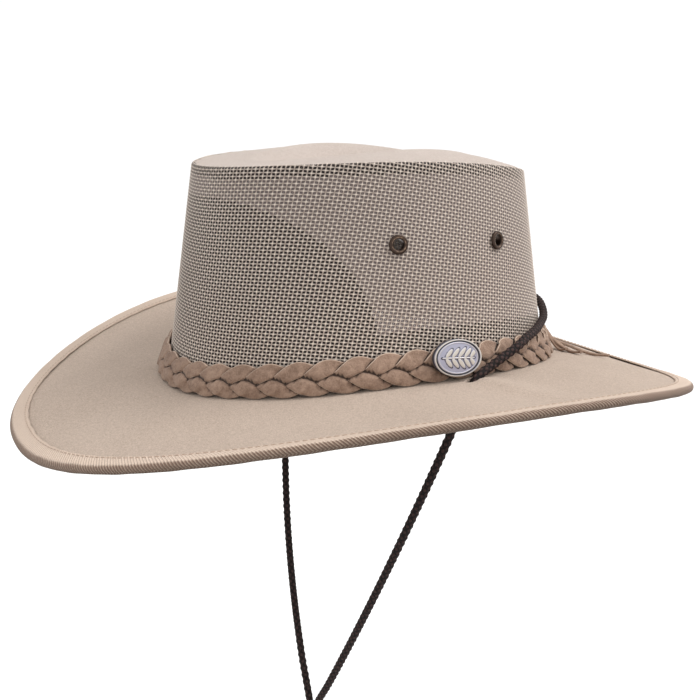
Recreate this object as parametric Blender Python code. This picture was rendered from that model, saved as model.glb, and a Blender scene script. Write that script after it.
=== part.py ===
"""Safari hat: canvas brim and tip, coated mesh crown, suede braid, metal trim and a chin cord.

Metres, +Z up. The front of the hat is -Y and the wearer's left is +X. The origin is the middle of
the head opening. Angles go round the crown from +X (left side) to +Y (back).
"""
import math

import bmesh
import bpy
import numpy as np
from mathutils import Matrix, Vector

# Crown: outer face of the mesh wall, as ovals at its foot and at its top seam.
CROWN_FOOT_HALF_WIDTH = 0.0860
CROWN_FOOT_HALF_LENGTH = 0.1010
CROWN_TOP_HALF_WIDTH = 0.0730
CROWN_TOP_HALF_LENGTH = 0.0858
FOOT_HEIGHT = 0.0015
FOOT_SADDLE = 0.0058
SEAM_HEIGHT = 0.0977
SEAM_SADDLE = 0.0032
SEAM_BACK_DROP = 0.0029

# Walls of the crown's layers, from the outside in.
NET_WALL = 0.0010
PANEL_WALL = 0.0010
SWEATBAND_WALL = 0.0014
TIP_WALL = 0.0014
GAP = 0.0003

# Sweatband and front panel.
SWEATBAND_RISE = 0.0226
PANEL_HALF_ANGLE = math.radians(71.0)
PANEL_END_ANGLE = math.radians(70.0)
PANEL_TOP_SHARE = 0.875
PANEL_ROUNDNESS = 2.5
PANEL_FOOT = 0.0015

# Crown tip: soft edge, ridge and long dent.
TIP_SKIRT = 0.0050
RIDGE_INSET = 0.0150
RIDGE_RISE = 0.0053
RIDGE_BACK_RISE = 0.0026
RIDGE_SADDLE = 0.0018
DENT_DEPTH = 0.0300
DENT_SHIFT_BACK = 0.0200
# Soft edge of the tip: how far in and how far up, as shares of the ridge's inset and rise.
TIP_EDGE = (
    {"inset": 0.00, "rise": 0.00},
    {"inset": 0.05, "rise": 0.08},
    {"inset": 0.22, "rise": 0.34},
    {"inset": 0.55, "rise": 0.74},
    {"inset": 1.00, "rise": 1.00},
)
# Dent: rings from the ridge to the middle, as shares of the ridge oval.
DENT_RINGS = (0.82, 0.62, 0.42, 0.21)

# Brim: outer edge of the binding, seen from above an egg that is wider at the back.
RIM_HALF_WIDTH = 0.1562
RIM_HALF_LENGTH = 0.1600
RIM_SHIFT_FRONT = 0.0164
RIM_SQUARENESS = 2.27
RIM_EGG = 0.218
RIM_HEIGHT = -0.0033
RIM_BACK_RISE = 0.0055
RIM_SADDLE = 0.0149
RIM_CORNER_RISE = 0.0011
BRIM_THICKNESS = 0.0018
BRIM_BOW = 0.0028
BRIM_RINGS = (0.0, 0.16, 0.40, 0.70, 1.0)

# Binding: tape rolled over the edge.
BINDING_THICKNESS = 0.0044
BINDING_WIDTH = 0.0085
BINDING_LIP = 0.0009

# Braided band.
BAND_HEIGHT = 0.0138
BAND_THICKNESS = 0.0050
BAND_ARCHES = 45
BAND_LOBE = 0.0009

# Loose ends of the braid.
WRAP_ANGLE = math.radians(72.0)
WRAP_WIDTH = 0.0100
WRAP_THICKNESS = 0.0016
TAIL_WIDTH = 0.0045
TAIL_THICKNESS = 0.0015
# Tails: where each tip lies on the brim, and how high it stands off it.
TAILS = (
    {"tip_x": 0.0425, "tip_y": 0.1065, "lift": 0.0030, "start": 0.85},
    {"tip_x": 0.0490, "tip_y": 0.1095, "lift": 0.0012, "start": 0.45},
    {"tip_x": 0.0600, "tip_y": 0.1175, "lift": 0.0006, "start": 0.10},
)

# Concho, an oval medallion on the band at the left side.
CONCHO_LENGTH = 0.0235
CONCHO_HEIGHT = 0.0170
CONCHO_THICKNESS = 0.0026
CONCHO_RIM_WIDTH = 0.0012
CONCHO_FIELD_DEPTH = 0.0006
CONCHO_ANGLE = math.radians(-0.8)
CONCHO_RISE = 0.0101
CONCHO_ROLL = math.radians(-5.0)

# Eyelets in the net.
EYELET_HOLE_RADIUS = 0.0024
EYELET_BARREL_WALL = 0.0005
EYELET_RADIUS = 0.0043
EYELET_FACE = 0.0009
EYELET_GAP = 0.00055
EYELET_SHARE = 0.635
EYELETS = (
    {"name": "eyelet_left_front", "angle": -14.5},
    {"name": "eyelet_left_back", "angle": 20.0},
    {"name": "eyelet_right_front", "angle": 194.5},
    {"name": "eyelet_right_back", "angle": 160.0},
)

# Chin cord, its holes in the brim, its slide and its knot.
CORD_DIAMETER = 0.0041
CORD_HOLE_HALF_WIDTH = 0.0029
CORD_HOLE_HALF_LENGTH = 0.0042
CORD_HOLE_X = 0.0954
CORD_HOLE_Y = 0.0058
CORD_SPLIT_HEIGHT = -0.0010
STRAND_SPACING = 0.0050
MEETING_Y = -0.0286
MEETING_HEIGHT = -0.2085
SLIDE_TOP = -0.2150
SLIDE_WIDTH = 0.0140
SLIDE_DEPTH = 0.0085
SLIDE_HEIGHT = 0.0140
SLIDE_HOLE_CLEARANCE = 0.0004
KNOT_TOP = -0.2520
KNOT_RADIUS = 0.0060
KNOT_SQUASH = 0.85
# Half of the run round the crown, from the middle of the back to the left brim hole.
CROWN_RUN = (
    (0.0000, 0.0993, 0.0255),
    (0.0220, 0.0961, 0.0253),
    (0.0361, 0.0906, 0.0246),
    (0.0453, 0.0854, 0.0232),
    (0.0546, 0.0784, 0.0213),
    (0.0627, 0.0701, 0.0204),
    (0.0720, 0.0588, 0.0202),
    (0.0780, 0.0510, 0.0200),
    (0.0838, 0.0422, 0.0194),
    (0.0876, 0.0359, 0.0181),
    (0.0910, 0.0249, 0.0147),
    (0.0932, 0.0154, 0.0114),
    (0.0950, 0.0097, 0.0096),
    (0.0956, 0.0056, 0.0062),
    (0.0945, 0.0038, 0.0005),
    (0.0925, 0.0022, -0.0055),
)
# Free strands below the brim: how far each bows out sideways and forwards at its middle.
STRAND_POINTS = 9
STRANDS = (
    {"name": "chin_cord_left", "side": 1.0, "bow_x": 0.0067, "bow_y": -0.0033},
    {"name": "chin_cord_right", "side": -1.0, "bow_x": 0.0031, "bow_y": -0.0073},
)
STRAND_POINT_SPACING = 0.0123
CROWN_POINT_SPACING = 0.0086

# Steps round the ovals.
ROUND_STEPS = 72
TIP_STEPS = 48
PANEL_STEPS = 24

COLOURS = {
    "canvas": ((0.54, 0.45, 0.37), 0.9, 0.0),
    "tape": ((0.50, 0.40, 0.31), 0.85, 0.0),
    "mesh": ((0.60, 0.52, 0.43), 0.6, 0.0),
    "lining": ((0.03, 0.03, 0.03), 0.9, 0.0),
    "suede": ((0.38, 0.26, 0.19), 0.95, 0.0),
    "silver": ((0.60, 0.60, 0.63), 0.35, 1.0),
    "bronze": ((0.20, 0.14, 0.10), 0.4, 1.0),
    "cord": ((0.045, 0.030, 0.026), 0.8, 0.0),
}


def material(name):
    """One Principled material for each finish."""
    found = bpy.data.materials.get(name)
    if found:
        return found
    colour, roughness, metallic = COLOURS[name]
    made = bpy.data.materials.new(name)
    made.use_nodes = True
    shader = made.node_tree.nodes["Principled BSDF"]
    shader.inputs["Base Color"].default_value = (*colour, 1.0)
    shader.inputs["Roughness"].default_value = roughness
    shader.inputs["Metallic"].default_value = metallic
    return made


def mix(a, b, share):
    return a + (b - a) * share


def round_angles(steps):
    return np.linspace(0.0, 2.0 * math.pi, steps, endpoint=False)


def foot_height(angle):
    """Height of the brim's top where the crown stands on it."""
    return FOOT_HEIGHT + FOOT_SADDLE * np.cos(2.0 * angle)


def seam_height(angle):
    """Height of the net's top edge."""
    return SEAM_HEIGHT + SEAM_SADDLE * np.cos(2.0 * angle) - SEAM_BACK_DROP * np.sin(angle)


def oval(angle, half_width, half_length, height):
    x = half_width * np.cos(angle)
    y = half_length * np.sin(angle)
    return np.stack([x, y, height + np.zeros_like(x)], -1)


def wall_point(angle, share, off):
    """Point on the crown's wall: share 0 at its foot to 1 at the seam, off metres outside the net."""
    half_width = mix(CROWN_FOOT_HALF_WIDTH, CROWN_TOP_HALF_WIDTH, share) + off
    half_length = mix(CROWN_FOOT_HALF_LENGTH, CROWN_TOP_HALF_LENGTH, share) + off
    height = mix(foot_height(angle), seam_height(angle), share)
    return oval(angle, half_width, half_length, height)


def wall_share(angle, rise):
    """Share of the wall's height that lies rise metres above its foot."""
    return rise / (seam_height(angle) - foot_height(angle))


def rim_plan(angle):
    """Outer edge of the binding seen from above."""
    power = 2.0 / RIM_SQUARENESS
    across = np.sign(np.cos(angle)) * np.abs(np.cos(angle)) ** power
    along = np.sign(np.sin(angle)) * np.abs(np.sin(angle)) ** power
    x = RIM_HALF_WIDTH * across * (1.0 + RIM_EGG * np.sin(angle))
    y = RIM_HALF_LENGTH * along - RIM_SHIFT_FRONT
    return np.stack([x, y], -1)


def rim_height(angle):
    saddle = RIM_SADDLE * np.cos(2.0 * angle) + RIM_CORNER_RISE * np.sin(3.0 * angle)
    return RIM_HEIGHT + RIM_BACK_RISE * np.sin(angle) + saddle


def layer_off(count):
    """Outer faces inside the net: 0 for the front panel or the tip, 1 for the sweatband, 2 inside it."""
    walls = (NET_WALL, PANEL_WALL, SWEATBAND_WALL)
    return -sum(wall + GAP for wall in walls[: count + 1])


def brim_inner_plan(angle):
    """Inner edge of the brim seen from above, clear of the sweatband at the brim's underside."""
    low = wall_share(angle, -BRIM_THICKNESS)
    return wall_point(angle, low, layer_off(1) + GAP)[..., :2]


def brim_reach(angle):
    """Length of the brim from its inner edge to the rim, seen from above."""
    return np.linalg.norm(rim_plan(angle) - brim_inner_plan(angle), axis=-1)


def brim_point(angle, share, rise):
    """Point of the brim: share 0 at the inner edge to 1 at the rim, rise above its middle surface."""
    share = share + np.zeros_like(angle)
    plan = mix(brim_inner_plan(angle), rim_plan(angle), share[..., None])
    inner = foot_height(angle) - BRIM_THICKNESS / 2.0
    bow = -BRIM_BOW * np.cos(2.0 * angle) * 4.0 * share * (1.0 - share)
    height = mix(inner, rim_height(angle), share) + bow + rise
    return np.concatenate([plan, height[..., None]], -1)


def brim_top_at(x, y):
    """Height of the brim's top under a point seen from above."""
    angles = np.linspace(0.0, 2.0 * math.pi, 721)
    shares = np.linspace(0.0, 1.0, 81)
    grid = np.stack([brim_point(angles, share, BRIM_THICKNESS / 2.0) for share in shares])
    away = np.hypot(grid[..., 0] - x, grid[..., 1] - y)
    return float(grid[..., 2].ravel()[away.argmin()])


def finish_mesh(name, build, colour, smooth=True):
    """An object from a bmesh, with its faces turned outwards."""
    bmesh.ops.recalc_face_normals(build, faces=build.faces)
    mesh = bpy.data.meshes.new(name)
    build.to_mesh(mesh)
    build.free()
    if smooth:
        mesh.shade_smooth()
        mesh.set_sharp_from_angle(angle=math.radians(40.0))
    mesh.materials.append(material(colour))
    made = bpy.data.objects.new(name, mesh)
    bpy.context.scene.collection.objects.link(made)
    return made


def swept(loops, closed):
    """A bmesh through closed cross-sections, joined in a ring or capped at both ends."""
    build = bmesh.new()
    rows = [[build.verts.new(point) for point in loop] for loop in loops]
    count = len(rows[0])
    pairs = list(zip(rows, rows[1:] + rows[:1])) if closed else list(zip(rows, rows[1:]))
    for here, there in pairs:
        for k in range(count):
            after = (k + 1) % count
            build.faces.new((here[k], here[after], there[after], there[k]))
    if not closed:
        build.faces.new(rows[0])
        build.faces.new(rows[-1])
    return build


def ring_loops(stations):
    """Turns a list of rings, each (steps, 3), into one closed cross-section for each step."""
    return np.stack(stations, axis=1)


def cut(target, cutter):
    """Takes a cutter away from a piece for good."""
    modifier = target.modifiers.new("cut", "BOOLEAN")
    modifier.operation = "DIFFERENCE"
    modifier.solver = "EXACT"
    modifier.object = cutter
    cutter.hide_render = True
    cutter.display_type = "WIRE"


def cylinder(name, radius, depth, place, turn=None, steps=20):
    build = bmesh.new()
    bmesh.ops.create_cone(
        build, cap_ends=True, segments=steps, radius1=radius, radius2=radius, depth=depth
    )
    made = finish_mesh(name, build, "bronze")
    made.matrix_world = Matrix.Translation(place) @ (turn or Matrix.Identity(4))
    return made


def wall_frame(angle, share, off):
    """Place on the crown's wall with X along the wall, Y up it and Z straight out."""
    at = np.array([angle])
    step = 1e-4
    place = Vector(wall_point(at, share, off)[0])
    along = Vector(wall_point(at + step, share, off)[0]) - place
    up = Vector(wall_point(at, share + step, off)[0]) - place
    outward = along.cross(up).normalized()
    along.normalize()
    up = outward.cross(along)
    turn = Matrix((along, up, outward)).transposed().to_4x4()
    return Matrix.Translation(place) @ turn


def make_brim():
    angles = round_angles(ROUND_STEPS)
    edge = 1.0 - BINDING_SLOT_END / brim_reach(angles)
    top = [brim_point(angles, edge * share, BRIM_THICKNESS / 2.0) for share in BRIM_RINGS]
    bottom = [brim_point(angles, edge * share, -BRIM_THICKNESS / 2.0) for share in BRIM_RINGS]
    build = swept(ring_loops(top + bottom[::-1]), closed=True)
    brim = finish_mesh("brim", build, "canvas")
    for side in (1.0, -1.0):
        place = (side * CORD_HOLE_X, CORD_HOLE_Y, float(foot_height(np.array(0.0))))
        shape = Matrix.Diagonal((CORD_HOLE_HALF_WIDTH, CORD_HOLE_HALF_LENGTH, 1.0, 1.0))
        cut(brim, cylinder("cord_hole_cutter", 1.0, BRIM_THICKNESS * 6.0, place, shape))
    return brim


BINDING_SLOT_END = BINDING_THICKNESS / 2.0 - BINDING_LIP / 2.0


def make_binding():
    """Tape round the brim's edge: a round nose outside, two lips on the brim."""
    half = BINDING_THICKNESS / 2.0
    slot = BRIM_THICKNESS / 2.0 + GAP
    slot_end = BINDING_SLOT_END - GAP
    nose = [
        (half - half * math.cos(turn), half * math.sin(turn))
        for turn in np.radians((90.0, 45.0, 0.0, -45.0, -90.0))
    ]
    lip = slot + BINDING_LIP
    section = [
        (BINDING_WIDTH, slot),
        (BINDING_WIDTH, lip),
        *nose,
        (BINDING_WIDTH, -lip),
        (BINDING_WIDTH, -slot),
        (slot_end, -slot),
        (slot_end, slot),
    ]
    angles = round_angles(ROUND_STEPS)
    reach = brim_reach(angles)
    rings = [brim_point(angles, 1.0 - inward / reach, rise) for inward, rise in section]
    return finish_mesh("brim_binding", swept(ring_loops(rings), closed=True), "tape")


def make_net():
    angles = round_angles(ROUND_STEPS)
    foot = wall_share(angles, GAP)
    shares = [mix(foot, 1.0, level) for level in (0.0, 0.33, 0.66, 1.0)]
    outer = [wall_point(angles, share, 0.0) for share in shares]
    inner = [wall_point(angles, share, -NET_WALL) for share in shares]
    net = finish_mesh("crown_net", swept(ring_loops(outer + inner[::-1]), closed=True), "mesh")
    radius = EYELET_HOLE_RADIUS + EYELET_BARREL_WALL + GAP
    for eyelet in EYELETS:
        frame = wall_frame(math.radians(eyelet["angle"]), EYELET_SHARE, -NET_WALL / 2.0)
        cutter = cylinder("eyelet_cutter", radius, NET_WALL * 8.0, (0.0, 0.0, 0.0), steps=14)
        cutter.matrix_world = frame
        cut(net, cutter)
    return net


def make_sweatband():
    angles = round_angles(ROUND_STEPS)
    low = wall_share(angles, -BRIM_THICKNESS)
    high = wall_share(angles, SWEATBAND_RISE)
    off = layer_off(1)
    rings = [
        wall_point(angles, low, off),
        wall_point(angles, high, off),
        wall_point(angles, high, off - SWEATBAND_WALL),
        wall_point(angles, low, off - SWEATBAND_WALL),
    ]
    return finish_mesh("sweatband", swept(ring_loops(rings), closed=True), "lining")


def make_front_panel():
    """Arched panel behind the net, symmetrical about the front."""
    turns = np.linspace(-PANEL_END_ANGLE, PANEL_END_ANGLE, PANEL_STEPS + 1)
    angles = turns - math.pi / 2.0
    falls = np.abs(turns / PANEL_HALF_ANGLE) ** PANEL_ROUNDNESS
    top = PANEL_TOP_SHARE * (1.0 - falls) ** (1.0 / PANEL_ROUNDNESS)
    foot = wall_share(angles, PANEL_FOOT)
    off = layer_off(0)
    shares = [mix(foot, top, level) for level in (0.0, 0.5, 1.0)]
    outer = [wall_point(angles, share, off) for share in shares]
    inner = [wall_point(angles, share, off - PANEL_WALL) for share in shares]
    build = swept(ring_loops(outer + inner[::-1]), closed=False)
    return finish_mesh("front_panel", build, "lining")


def tip_rings():
    """Outer face of the tip, from the skirt's lower edge to the last ring of the dent."""
    angles = round_angles(TIP_STEPS)
    off = layer_off(0)
    skirt = wall_point(angles, 1.0 + wall_share(angles, -TIP_SKIRT), off)
    seam = seam_height(angles)
    waves = RIDGE_BACK_RISE * np.sin(angles) - RIDGE_SADDLE * np.cos(2.0 * angles)
    rise = RIDGE_RISE + waves
    half_width = CROWN_TOP_HALF_WIDTH + off
    half_length = CROWN_TOP_HALF_LENGTH + off
    rings = [skirt]
    for row in TIP_EDGE:
        inset = RIDGE_INSET * row["inset"]
        height = seam + rise * row["rise"]
        rings.append(oval(angles, half_width - inset, half_length - inset, height))
    ridge_width = half_width - RIDGE_INSET
    ridge_length = half_length - RIDGE_INSET
    for share in DENT_RINGS:
        fall = DENT_DEPTH * (0.5 + 0.5 * math.cos(math.pi * share))
        level = mix(float(np.mean(seam + rise)), seam + rise, share)
        ring = oval(angles, ridge_width * share, ridge_length * share, level - fall)
        ring[:, 1] += DENT_SHIFT_BACK * (1.0 - share)
        rings.append(ring)
    middle = (0.0, DENT_SHIFT_BACK, float(np.mean(seam + rise)) - DENT_DEPTH)
    return rings, middle


def make_tip():
    rings, middle = tip_rings()
    build = bmesh.new()
    rows = [[build.verts.new(point) for point in ring] for ring in rings]
    for here, there in zip(rows, rows[1:]):
        for k in range(TIP_STEPS):
            after = (k + 1) % TIP_STEPS
            build.faces.new((here[k], here[after], there[after], there[k]))
    pole = build.verts.new(middle)
    for k in range(TIP_STEPS):
        build.faces.new((rows[-1][k], rows[-1][(k + 1) % TIP_STEPS], pole))
    tip = finish_mesh("crown_tip", build, "canvas")
    wall = tip.modifiers.new("wall", "SOLIDIFY")
    wall.thickness = TIP_WALL
    wall.offset = -1.0
    return tip


def even_angles(steps, half_width, half_length):
    """Angles round an oval at even distances along it."""
    fine = np.linspace(0.0, 2.0 * math.pi, 2881)
    speed = np.hypot(half_width * np.sin(fine), half_length * np.cos(fine))
    length = np.concatenate([[0.0], np.cumsum((speed[1:] + speed[:-1]) / 2.0 * np.diff(fine))])
    wanted = np.linspace(0.0, length[-1], steps, endpoint=False)
    return np.interp(wanted, length, fine)


def make_band():
    """Braid round the crown's foot as one ring, with a lobe for each strip that turns at its edges."""
    steps = BAND_ARCHES * 2
    angles = even_angles(
        steps, CROWN_FOOT_HALF_WIDTH + BAND_THICKNESS, CROWN_FOOT_HALF_LENGTH + BAND_THICKNESS
    )
    lobe = BAND_LOBE * (np.arange(steps) % 2)
    section = (
        (GAP * 1.5, 0.06),
        (GAP * 1.5, 0.94),
        (BAND_THICKNESS * 0.45, 1.0),
        (BAND_THICKNESS * 0.9, 0.84),
        (BAND_THICKNESS, 0.50),
        (BAND_THICKNESS, 0.18),
        (BAND_THICKNESS * 0.5, 0.0),
    )
    rings = []
    for off, level in section:
        height = GAP + (BAND_HEIGHT - GAP) * level
        if level > 0.9:
            height = height - lobe
        outward = off + (lobe * 0.5 if 0.1 < level < 0.9 else 0.0)
        rings.append(wall_point(angles, wall_share(angles, height), outward + GAP))
    return finish_mesh("hat_band", swept(ring_loops(rings), closed=True), "suede")


def wrap_loops():
    """Cross-sections of the leather wrap that lies on the band's outer face."""
    half_turn = WRAP_WIDTH / 2.0 / CROWN_FOOT_HALF_WIDTH
    angles = np.linspace(WRAP_ANGLE - half_turn, WRAP_ANGLE + half_turn, 4)
    inner = BAND_THICKNESS + BAND_LOBE * 0.5 + GAP * 2.0
    low = wall_share(angles, BAND_HEIGHT * 0.08)
    high = wall_share(angles, BAND_HEIGHT * 0.95)
    rings = [
        wall_point(angles, low, inner),
        wall_point(angles, high, inner),
        wall_point(angles, high, inner + WRAP_THICKNESS),
        wall_point(angles, low, inner + WRAP_THICKNESS),
    ]
    return ring_loops(rings)


def tail_loops(tail):
    """Cross-sections of one flat strip from the wrap down to the brim and out to its tip."""
    off = BAND_THICKNESS + GAP * 2.0 + BAND_LOBE + WRAP_THICKNESS * 0.5
    at = np.array([WRAP_ANGLE])
    rise = BAND_HEIGHT * (0.25 + 0.5 * tail["start"])
    start = wall_point(at, wall_share(at, rise), off)[0]
    tip = np.array([tail["tip_x"], tail["tip_y"]])
    aim = tip - start[:2]
    aside = np.array([-aim[1], aim[0]]) / np.linalg.norm(aim) * TAIL_WIDTH / 2.0
    loops = []
    for share in (0.0, 0.2, 0.45, 0.75, 1.0):
        plan = mix(start[:2], tip, share)
        rest = brim_top_at(*plan) + GAP + tail["lift"] * share
        height = mix(start[2], rest, min(1.0, 1.6 * share))
        low_left, low_right = (np.append(plan + sign * aside, height) for sign in (1.0, -1.0))
        rise = np.array([0.0, 0.0, TAIL_THICKNESS])
        loops.append([low_left, low_right, low_right + rise, low_left + rise])
    return loops


def make_tails():
    """Wrap and strips, joined into one body."""
    wrap = finish_mesh("band_tails", swept(wrap_loops(), closed=False), "suede", smooth=False)
    for tail in TAILS:
        strip = finish_mesh("tail_strip", swept(tail_loops(tail), closed=False), "suede")
        join = wrap.modifiers.new("join", "BOOLEAN")
        join.operation = "UNION"
        join.solver = "EXACT"
        join.object = strip
        strip.hide_render = True
        strip.display_type = "WIRE"
    return wrap


def make_concho():
    """Oval medallion with a raised rim and a sunken field."""
    steps = 28
    angles = round_angles(steps)
    half_length = CONCHO_LENGTH / 2.0
    half_height = CONCHO_HEIGHT / 2.0
    face = CONCHO_THICKNESS
    profile = (
        (0.0, 0.0),
        (0.0, face * 0.65),
        (CONCHO_RIM_WIDTH * 0.35, face),
        (CONCHO_RIM_WIDTH * 0.8, face),
        (CONCHO_RIM_WIDTH * 1.2, face - CONCHO_FIELD_DEPTH),
    )
    rows = [oval(angles, half_length - inset, half_height - inset, rise) for inset, rise in profile]
    build = bmesh.new()
    verts = [[build.verts.new(point) for point in row] for row in rows]
    for here, there in zip(verts, verts[1:]):
        for k in range(steps):
            after = (k + 1) % steps
            build.faces.new((here[k], here[after], there[after], there[k]))
    build.faces.new(verts[0])
    build.faces.new(verts[-1])
    concho = finish_mesh("concho", build, "silver")
    off = BAND_THICKNESS + BAND_LOBE * 0.5 + GAP * 2.0
    share = float(wall_share(np.array([CONCHO_ANGLE]), CONCHO_RISE)[0])
    turn = Matrix.Rotation(CONCHO_ROLL, 4, "Z")
    concho.matrix_world = wall_frame(CONCHO_ANGLE, share, off) @ turn
    return concho


def make_eyelets():
    """Turned metal rings that grip the net between a rolled face and a flat washer."""
    barrel = EYELET_HOLE_RADIUS + EYELET_BARREL_WALL
    back = -(NET_WALL + EYELET_GAP)
    profile = (
        (EYELET_HOLE_RADIUS, back - EYELET_BARREL_WALL),
        (EYELET_HOLE_RADIUS, EYELET_GAP + EYELET_FACE * 0.5),
        (mix(EYELET_HOLE_RADIUS, EYELET_RADIUS, 0.45), EYELET_GAP + EYELET_FACE),
        (EYELET_RADIUS, EYELET_GAP + EYELET_FACE * 0.45),
        (EYELET_RADIUS, EYELET_GAP),
        (barrel, EYELET_GAP),
        (barrel, back),
        (EYELET_RADIUS * 0.92, back),
        (EYELET_RADIUS * 0.92, back - EYELET_BARREL_WALL),
    )
    angles = round_angles(12)
    rings = [oval(angles, radius, radius, height) for radius, height in profile]
    shared = None
    for eyelet in EYELETS:
        if shared is None:
            made = finish_mesh(eyelet["name"], swept(ring_loops(rings), closed=True), "bronze")
            shared = made.data
        else:
            made = bpy.data.objects.new(eyelet["name"], shared)
            bpy.context.scene.collection.objects.link(made)
        made.matrix_world = wall_frame(math.radians(eyelet["angle"]), EYELET_SHARE, 0.0)


def smooth_curve(route, steps=24):
    """Dense points on a smooth curve that passes through every route point."""
    points = np.array(route, float)
    ends = np.vstack([2.0 * points[0] - points[1], points, 2.0 * points[-1] - points[-2]])
    found = []
    for k in range(1, len(ends) - 2):
        p0, p1, p2, p3 = ends[k - 1 : k + 3]
        t0 = 0.0
        t1 = t0 + np.linalg.norm(p1 - p0) ** 0.5
        t2 = t1 + np.linalg.norm(p2 - p1) ** 0.5
        t3 = t2 + np.linalg.norm(p3 - p2) ** 0.5
        t = np.linspace(t1, t2, steps, endpoint=False)[:, None]
        a1 = (t1 - t) / (t1 - t0) * p0 + (t - t0) / (t1 - t0) * p1
        a2 = (t2 - t) / (t2 - t1) * p1 + (t - t1) / (t2 - t1) * p2
        a3 = (t3 - t) / (t3 - t2) * p2 + (t - t2) / (t3 - t2) * p3
        b1 = (t2 - t) / (t2 - t0) * a1 + (t - t0) / (t2 - t0) * a2
        b2 = (t3 - t) / (t3 - t1) * a2 + (t - t1) / (t3 - t1) * a3
        found.append((t2 - t) / (t2 - t1) * b1 + (t - t1) / (t2 - t1) * b2)
    return np.vstack([*found, points[-1:]])


def even_points(curve, spacing):
    """Points at even distances along a dense curve."""
    length = np.concatenate([[0.0], np.cumsum(np.linalg.norm(np.diff(curve, axis=0), axis=1))])
    wanted = np.linspace(0.0, length[-1], max(2, round(length[-1] / spacing) + 1))
    return np.stack([np.interp(wanted, length, curve[:, k]) for k in range(3)], -1)


def strand_route(strand):
    """Route points of a free strand, from below its brim hole through the slide to the knot."""
    side = strand["side"]
    start = np.array(CROWN_RUN[-1])
    start[0] *= side
    end = np.array([side * STRAND_SPACING / 2.0, MEETING_Y, MEETING_HEIGHT])
    bow = np.array([side * strand["bow_x"], strand["bow_y"], 0.0])
    shares = np.linspace(0.0, 1.0, STRAND_POINTS)[1:]
    free = [mix(start, end, share) + 4.0 * share * (1.0 - share) * bow for share in shares]
    middle_x = side * STRAND_SPACING / 2.0
    lower = [
        (middle_x, MEETING_Y, mix(MEETING_HEIGHT, SLIDE_TOP, 0.6)),
        (middle_x, MEETING_Y, mix(SLIDE_TOP, SLIDE_TOP - SLIDE_HEIGHT, 0.35)),
        (middle_x, MEETING_Y, SLIDE_TOP - SLIDE_HEIGHT),
        (middle_x, MEETING_Y, mix(SLIDE_TOP - SLIDE_HEIGHT, KNOT_TOP, 0.5)),
        (middle_x, MEETING_Y, KNOT_TOP + GAP),
    ]
    return [*free, *lower]


def whole_cord():
    """Dense points of the left half of the cord and of the right half, from the back to the knot."""
    halves = []
    for strand in STRANDS:
        side = strand["side"]
        run = [(side * x, y, z) for x, y, z in CROWN_RUN]
        other = [(-side * x, y, z) for x, y, z in CROWN_RUN[1:3]]
        curve = smooth_curve([*other[::-1], *run, *strand_route(strand)])
        back = np.flatnonzero(curve[:, 0] * side >= -1e-9)[0]
        halves.append(curve[back:])
    return halves


def tube(name, points, diameter):
    """A round cord through points, as a curve with a bevel."""
    data = bpy.data.curves.new(name, "CURVE")
    data.dimensions = "3D"
    spline = data.splines.new("POLY")
    spline.points.add(len(points) - 1)
    spline.points.foreach_set("co", np.c_[points, np.ones(len(points))].ravel())
    data.bevel_depth = diameter / 2.0
    data.bevel_resolution = 2
    data.use_fill_caps = True
    data.materials.append(material("cord"))
    made = bpy.data.objects.new(name, data)
    bpy.context.scene.collection.objects.link(made)
    return made


def make_cord():
    """The run round the crown and the two free strands, which meet it just below the brim."""
    left, right = whole_cord()
    runs = []
    for strand, half in zip(STRANDS, (left, right)):
        low = np.flatnonzero(half[:, 2] < CORD_SPLIT_HEIGHT)
        split = low[half[low, 0] * strand["side"] > CORD_HOLE_X * 0.8][0]
        runs.append(half[:split])
        free = half[split:]
        away = np.linalg.norm(free - half[split - 1], axis=1)
        free = free[np.flatnonzero(away >= GAP * 2.0)[0] :]
        tube(strand["name"], even_points(free, STRAND_POINT_SPACING), CORD_DIAMETER)
    crown = np.vstack([runs[1][::-1], runs[0][1:]])
    tube("chin_cord_crown", even_points(crown, CROWN_POINT_SPACING), CORD_DIAMETER)


def make_slide():
    """Bead with two upright holes."""
    build = bmesh.new()
    bmesh.ops.create_cube(build, size=1.0)
    size = Matrix.Diagonal((SLIDE_WIDTH, SLIDE_DEPTH, SLIDE_HEIGHT, 1.0))
    place = Matrix.Translation((0.0, MEETING_Y, SLIDE_TOP - SLIDE_HEIGHT / 2.0))
    build.transform(place @ size)
    bmesh.ops.bevel(build, geom=build.edges[:], offset=0.0018, segments=2, affect="EDGES")
    slide = finish_mesh("cord_slide", build, "cord")
    for side in (1.0, -1.0):
        place = (side * STRAND_SPACING / 2.0, MEETING_Y, SLIDE_TOP - SLIDE_HEIGHT / 2.0)
        radius = CORD_DIAMETER / 2.0 + SLIDE_HOLE_CLEARANCE
        hole = cylinder("slide_cutter", radius, SLIDE_HEIGHT * 2.0, place, steps=12)
        cut(slide, hole)
    return slide


def make_knot():
    """Rounded knot below the slide, with a flat top that both ends stand on."""
    build = bmesh.new()
    bmesh.ops.create_uvsphere(build, u_segments=14, v_segments=8, radius=KNOT_RADIUS)
    build.transform(Matrix.Translation((0.0, MEETING_Y, KNOT_TOP - KNOT_RADIUS * KNOT_SQUASH)))
    for vert in build.verts:
        vert.co.z = min(vert.co.z, KNOT_TOP)
    return finish_mesh("cord_knot", build, "cord")


def main():
    for existing in list(bpy.data.objects):
        bpy.data.objects.remove(existing, do_unlink=True)
    make_brim()
    make_binding()
    make_net()
    make_sweatband()
    make_front_panel()
    make_tip()
    make_band()
    make_tails()
    make_concho()
    make_eyelets()
    make_cord()
    make_slide()
    make_knot()


main()
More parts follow.
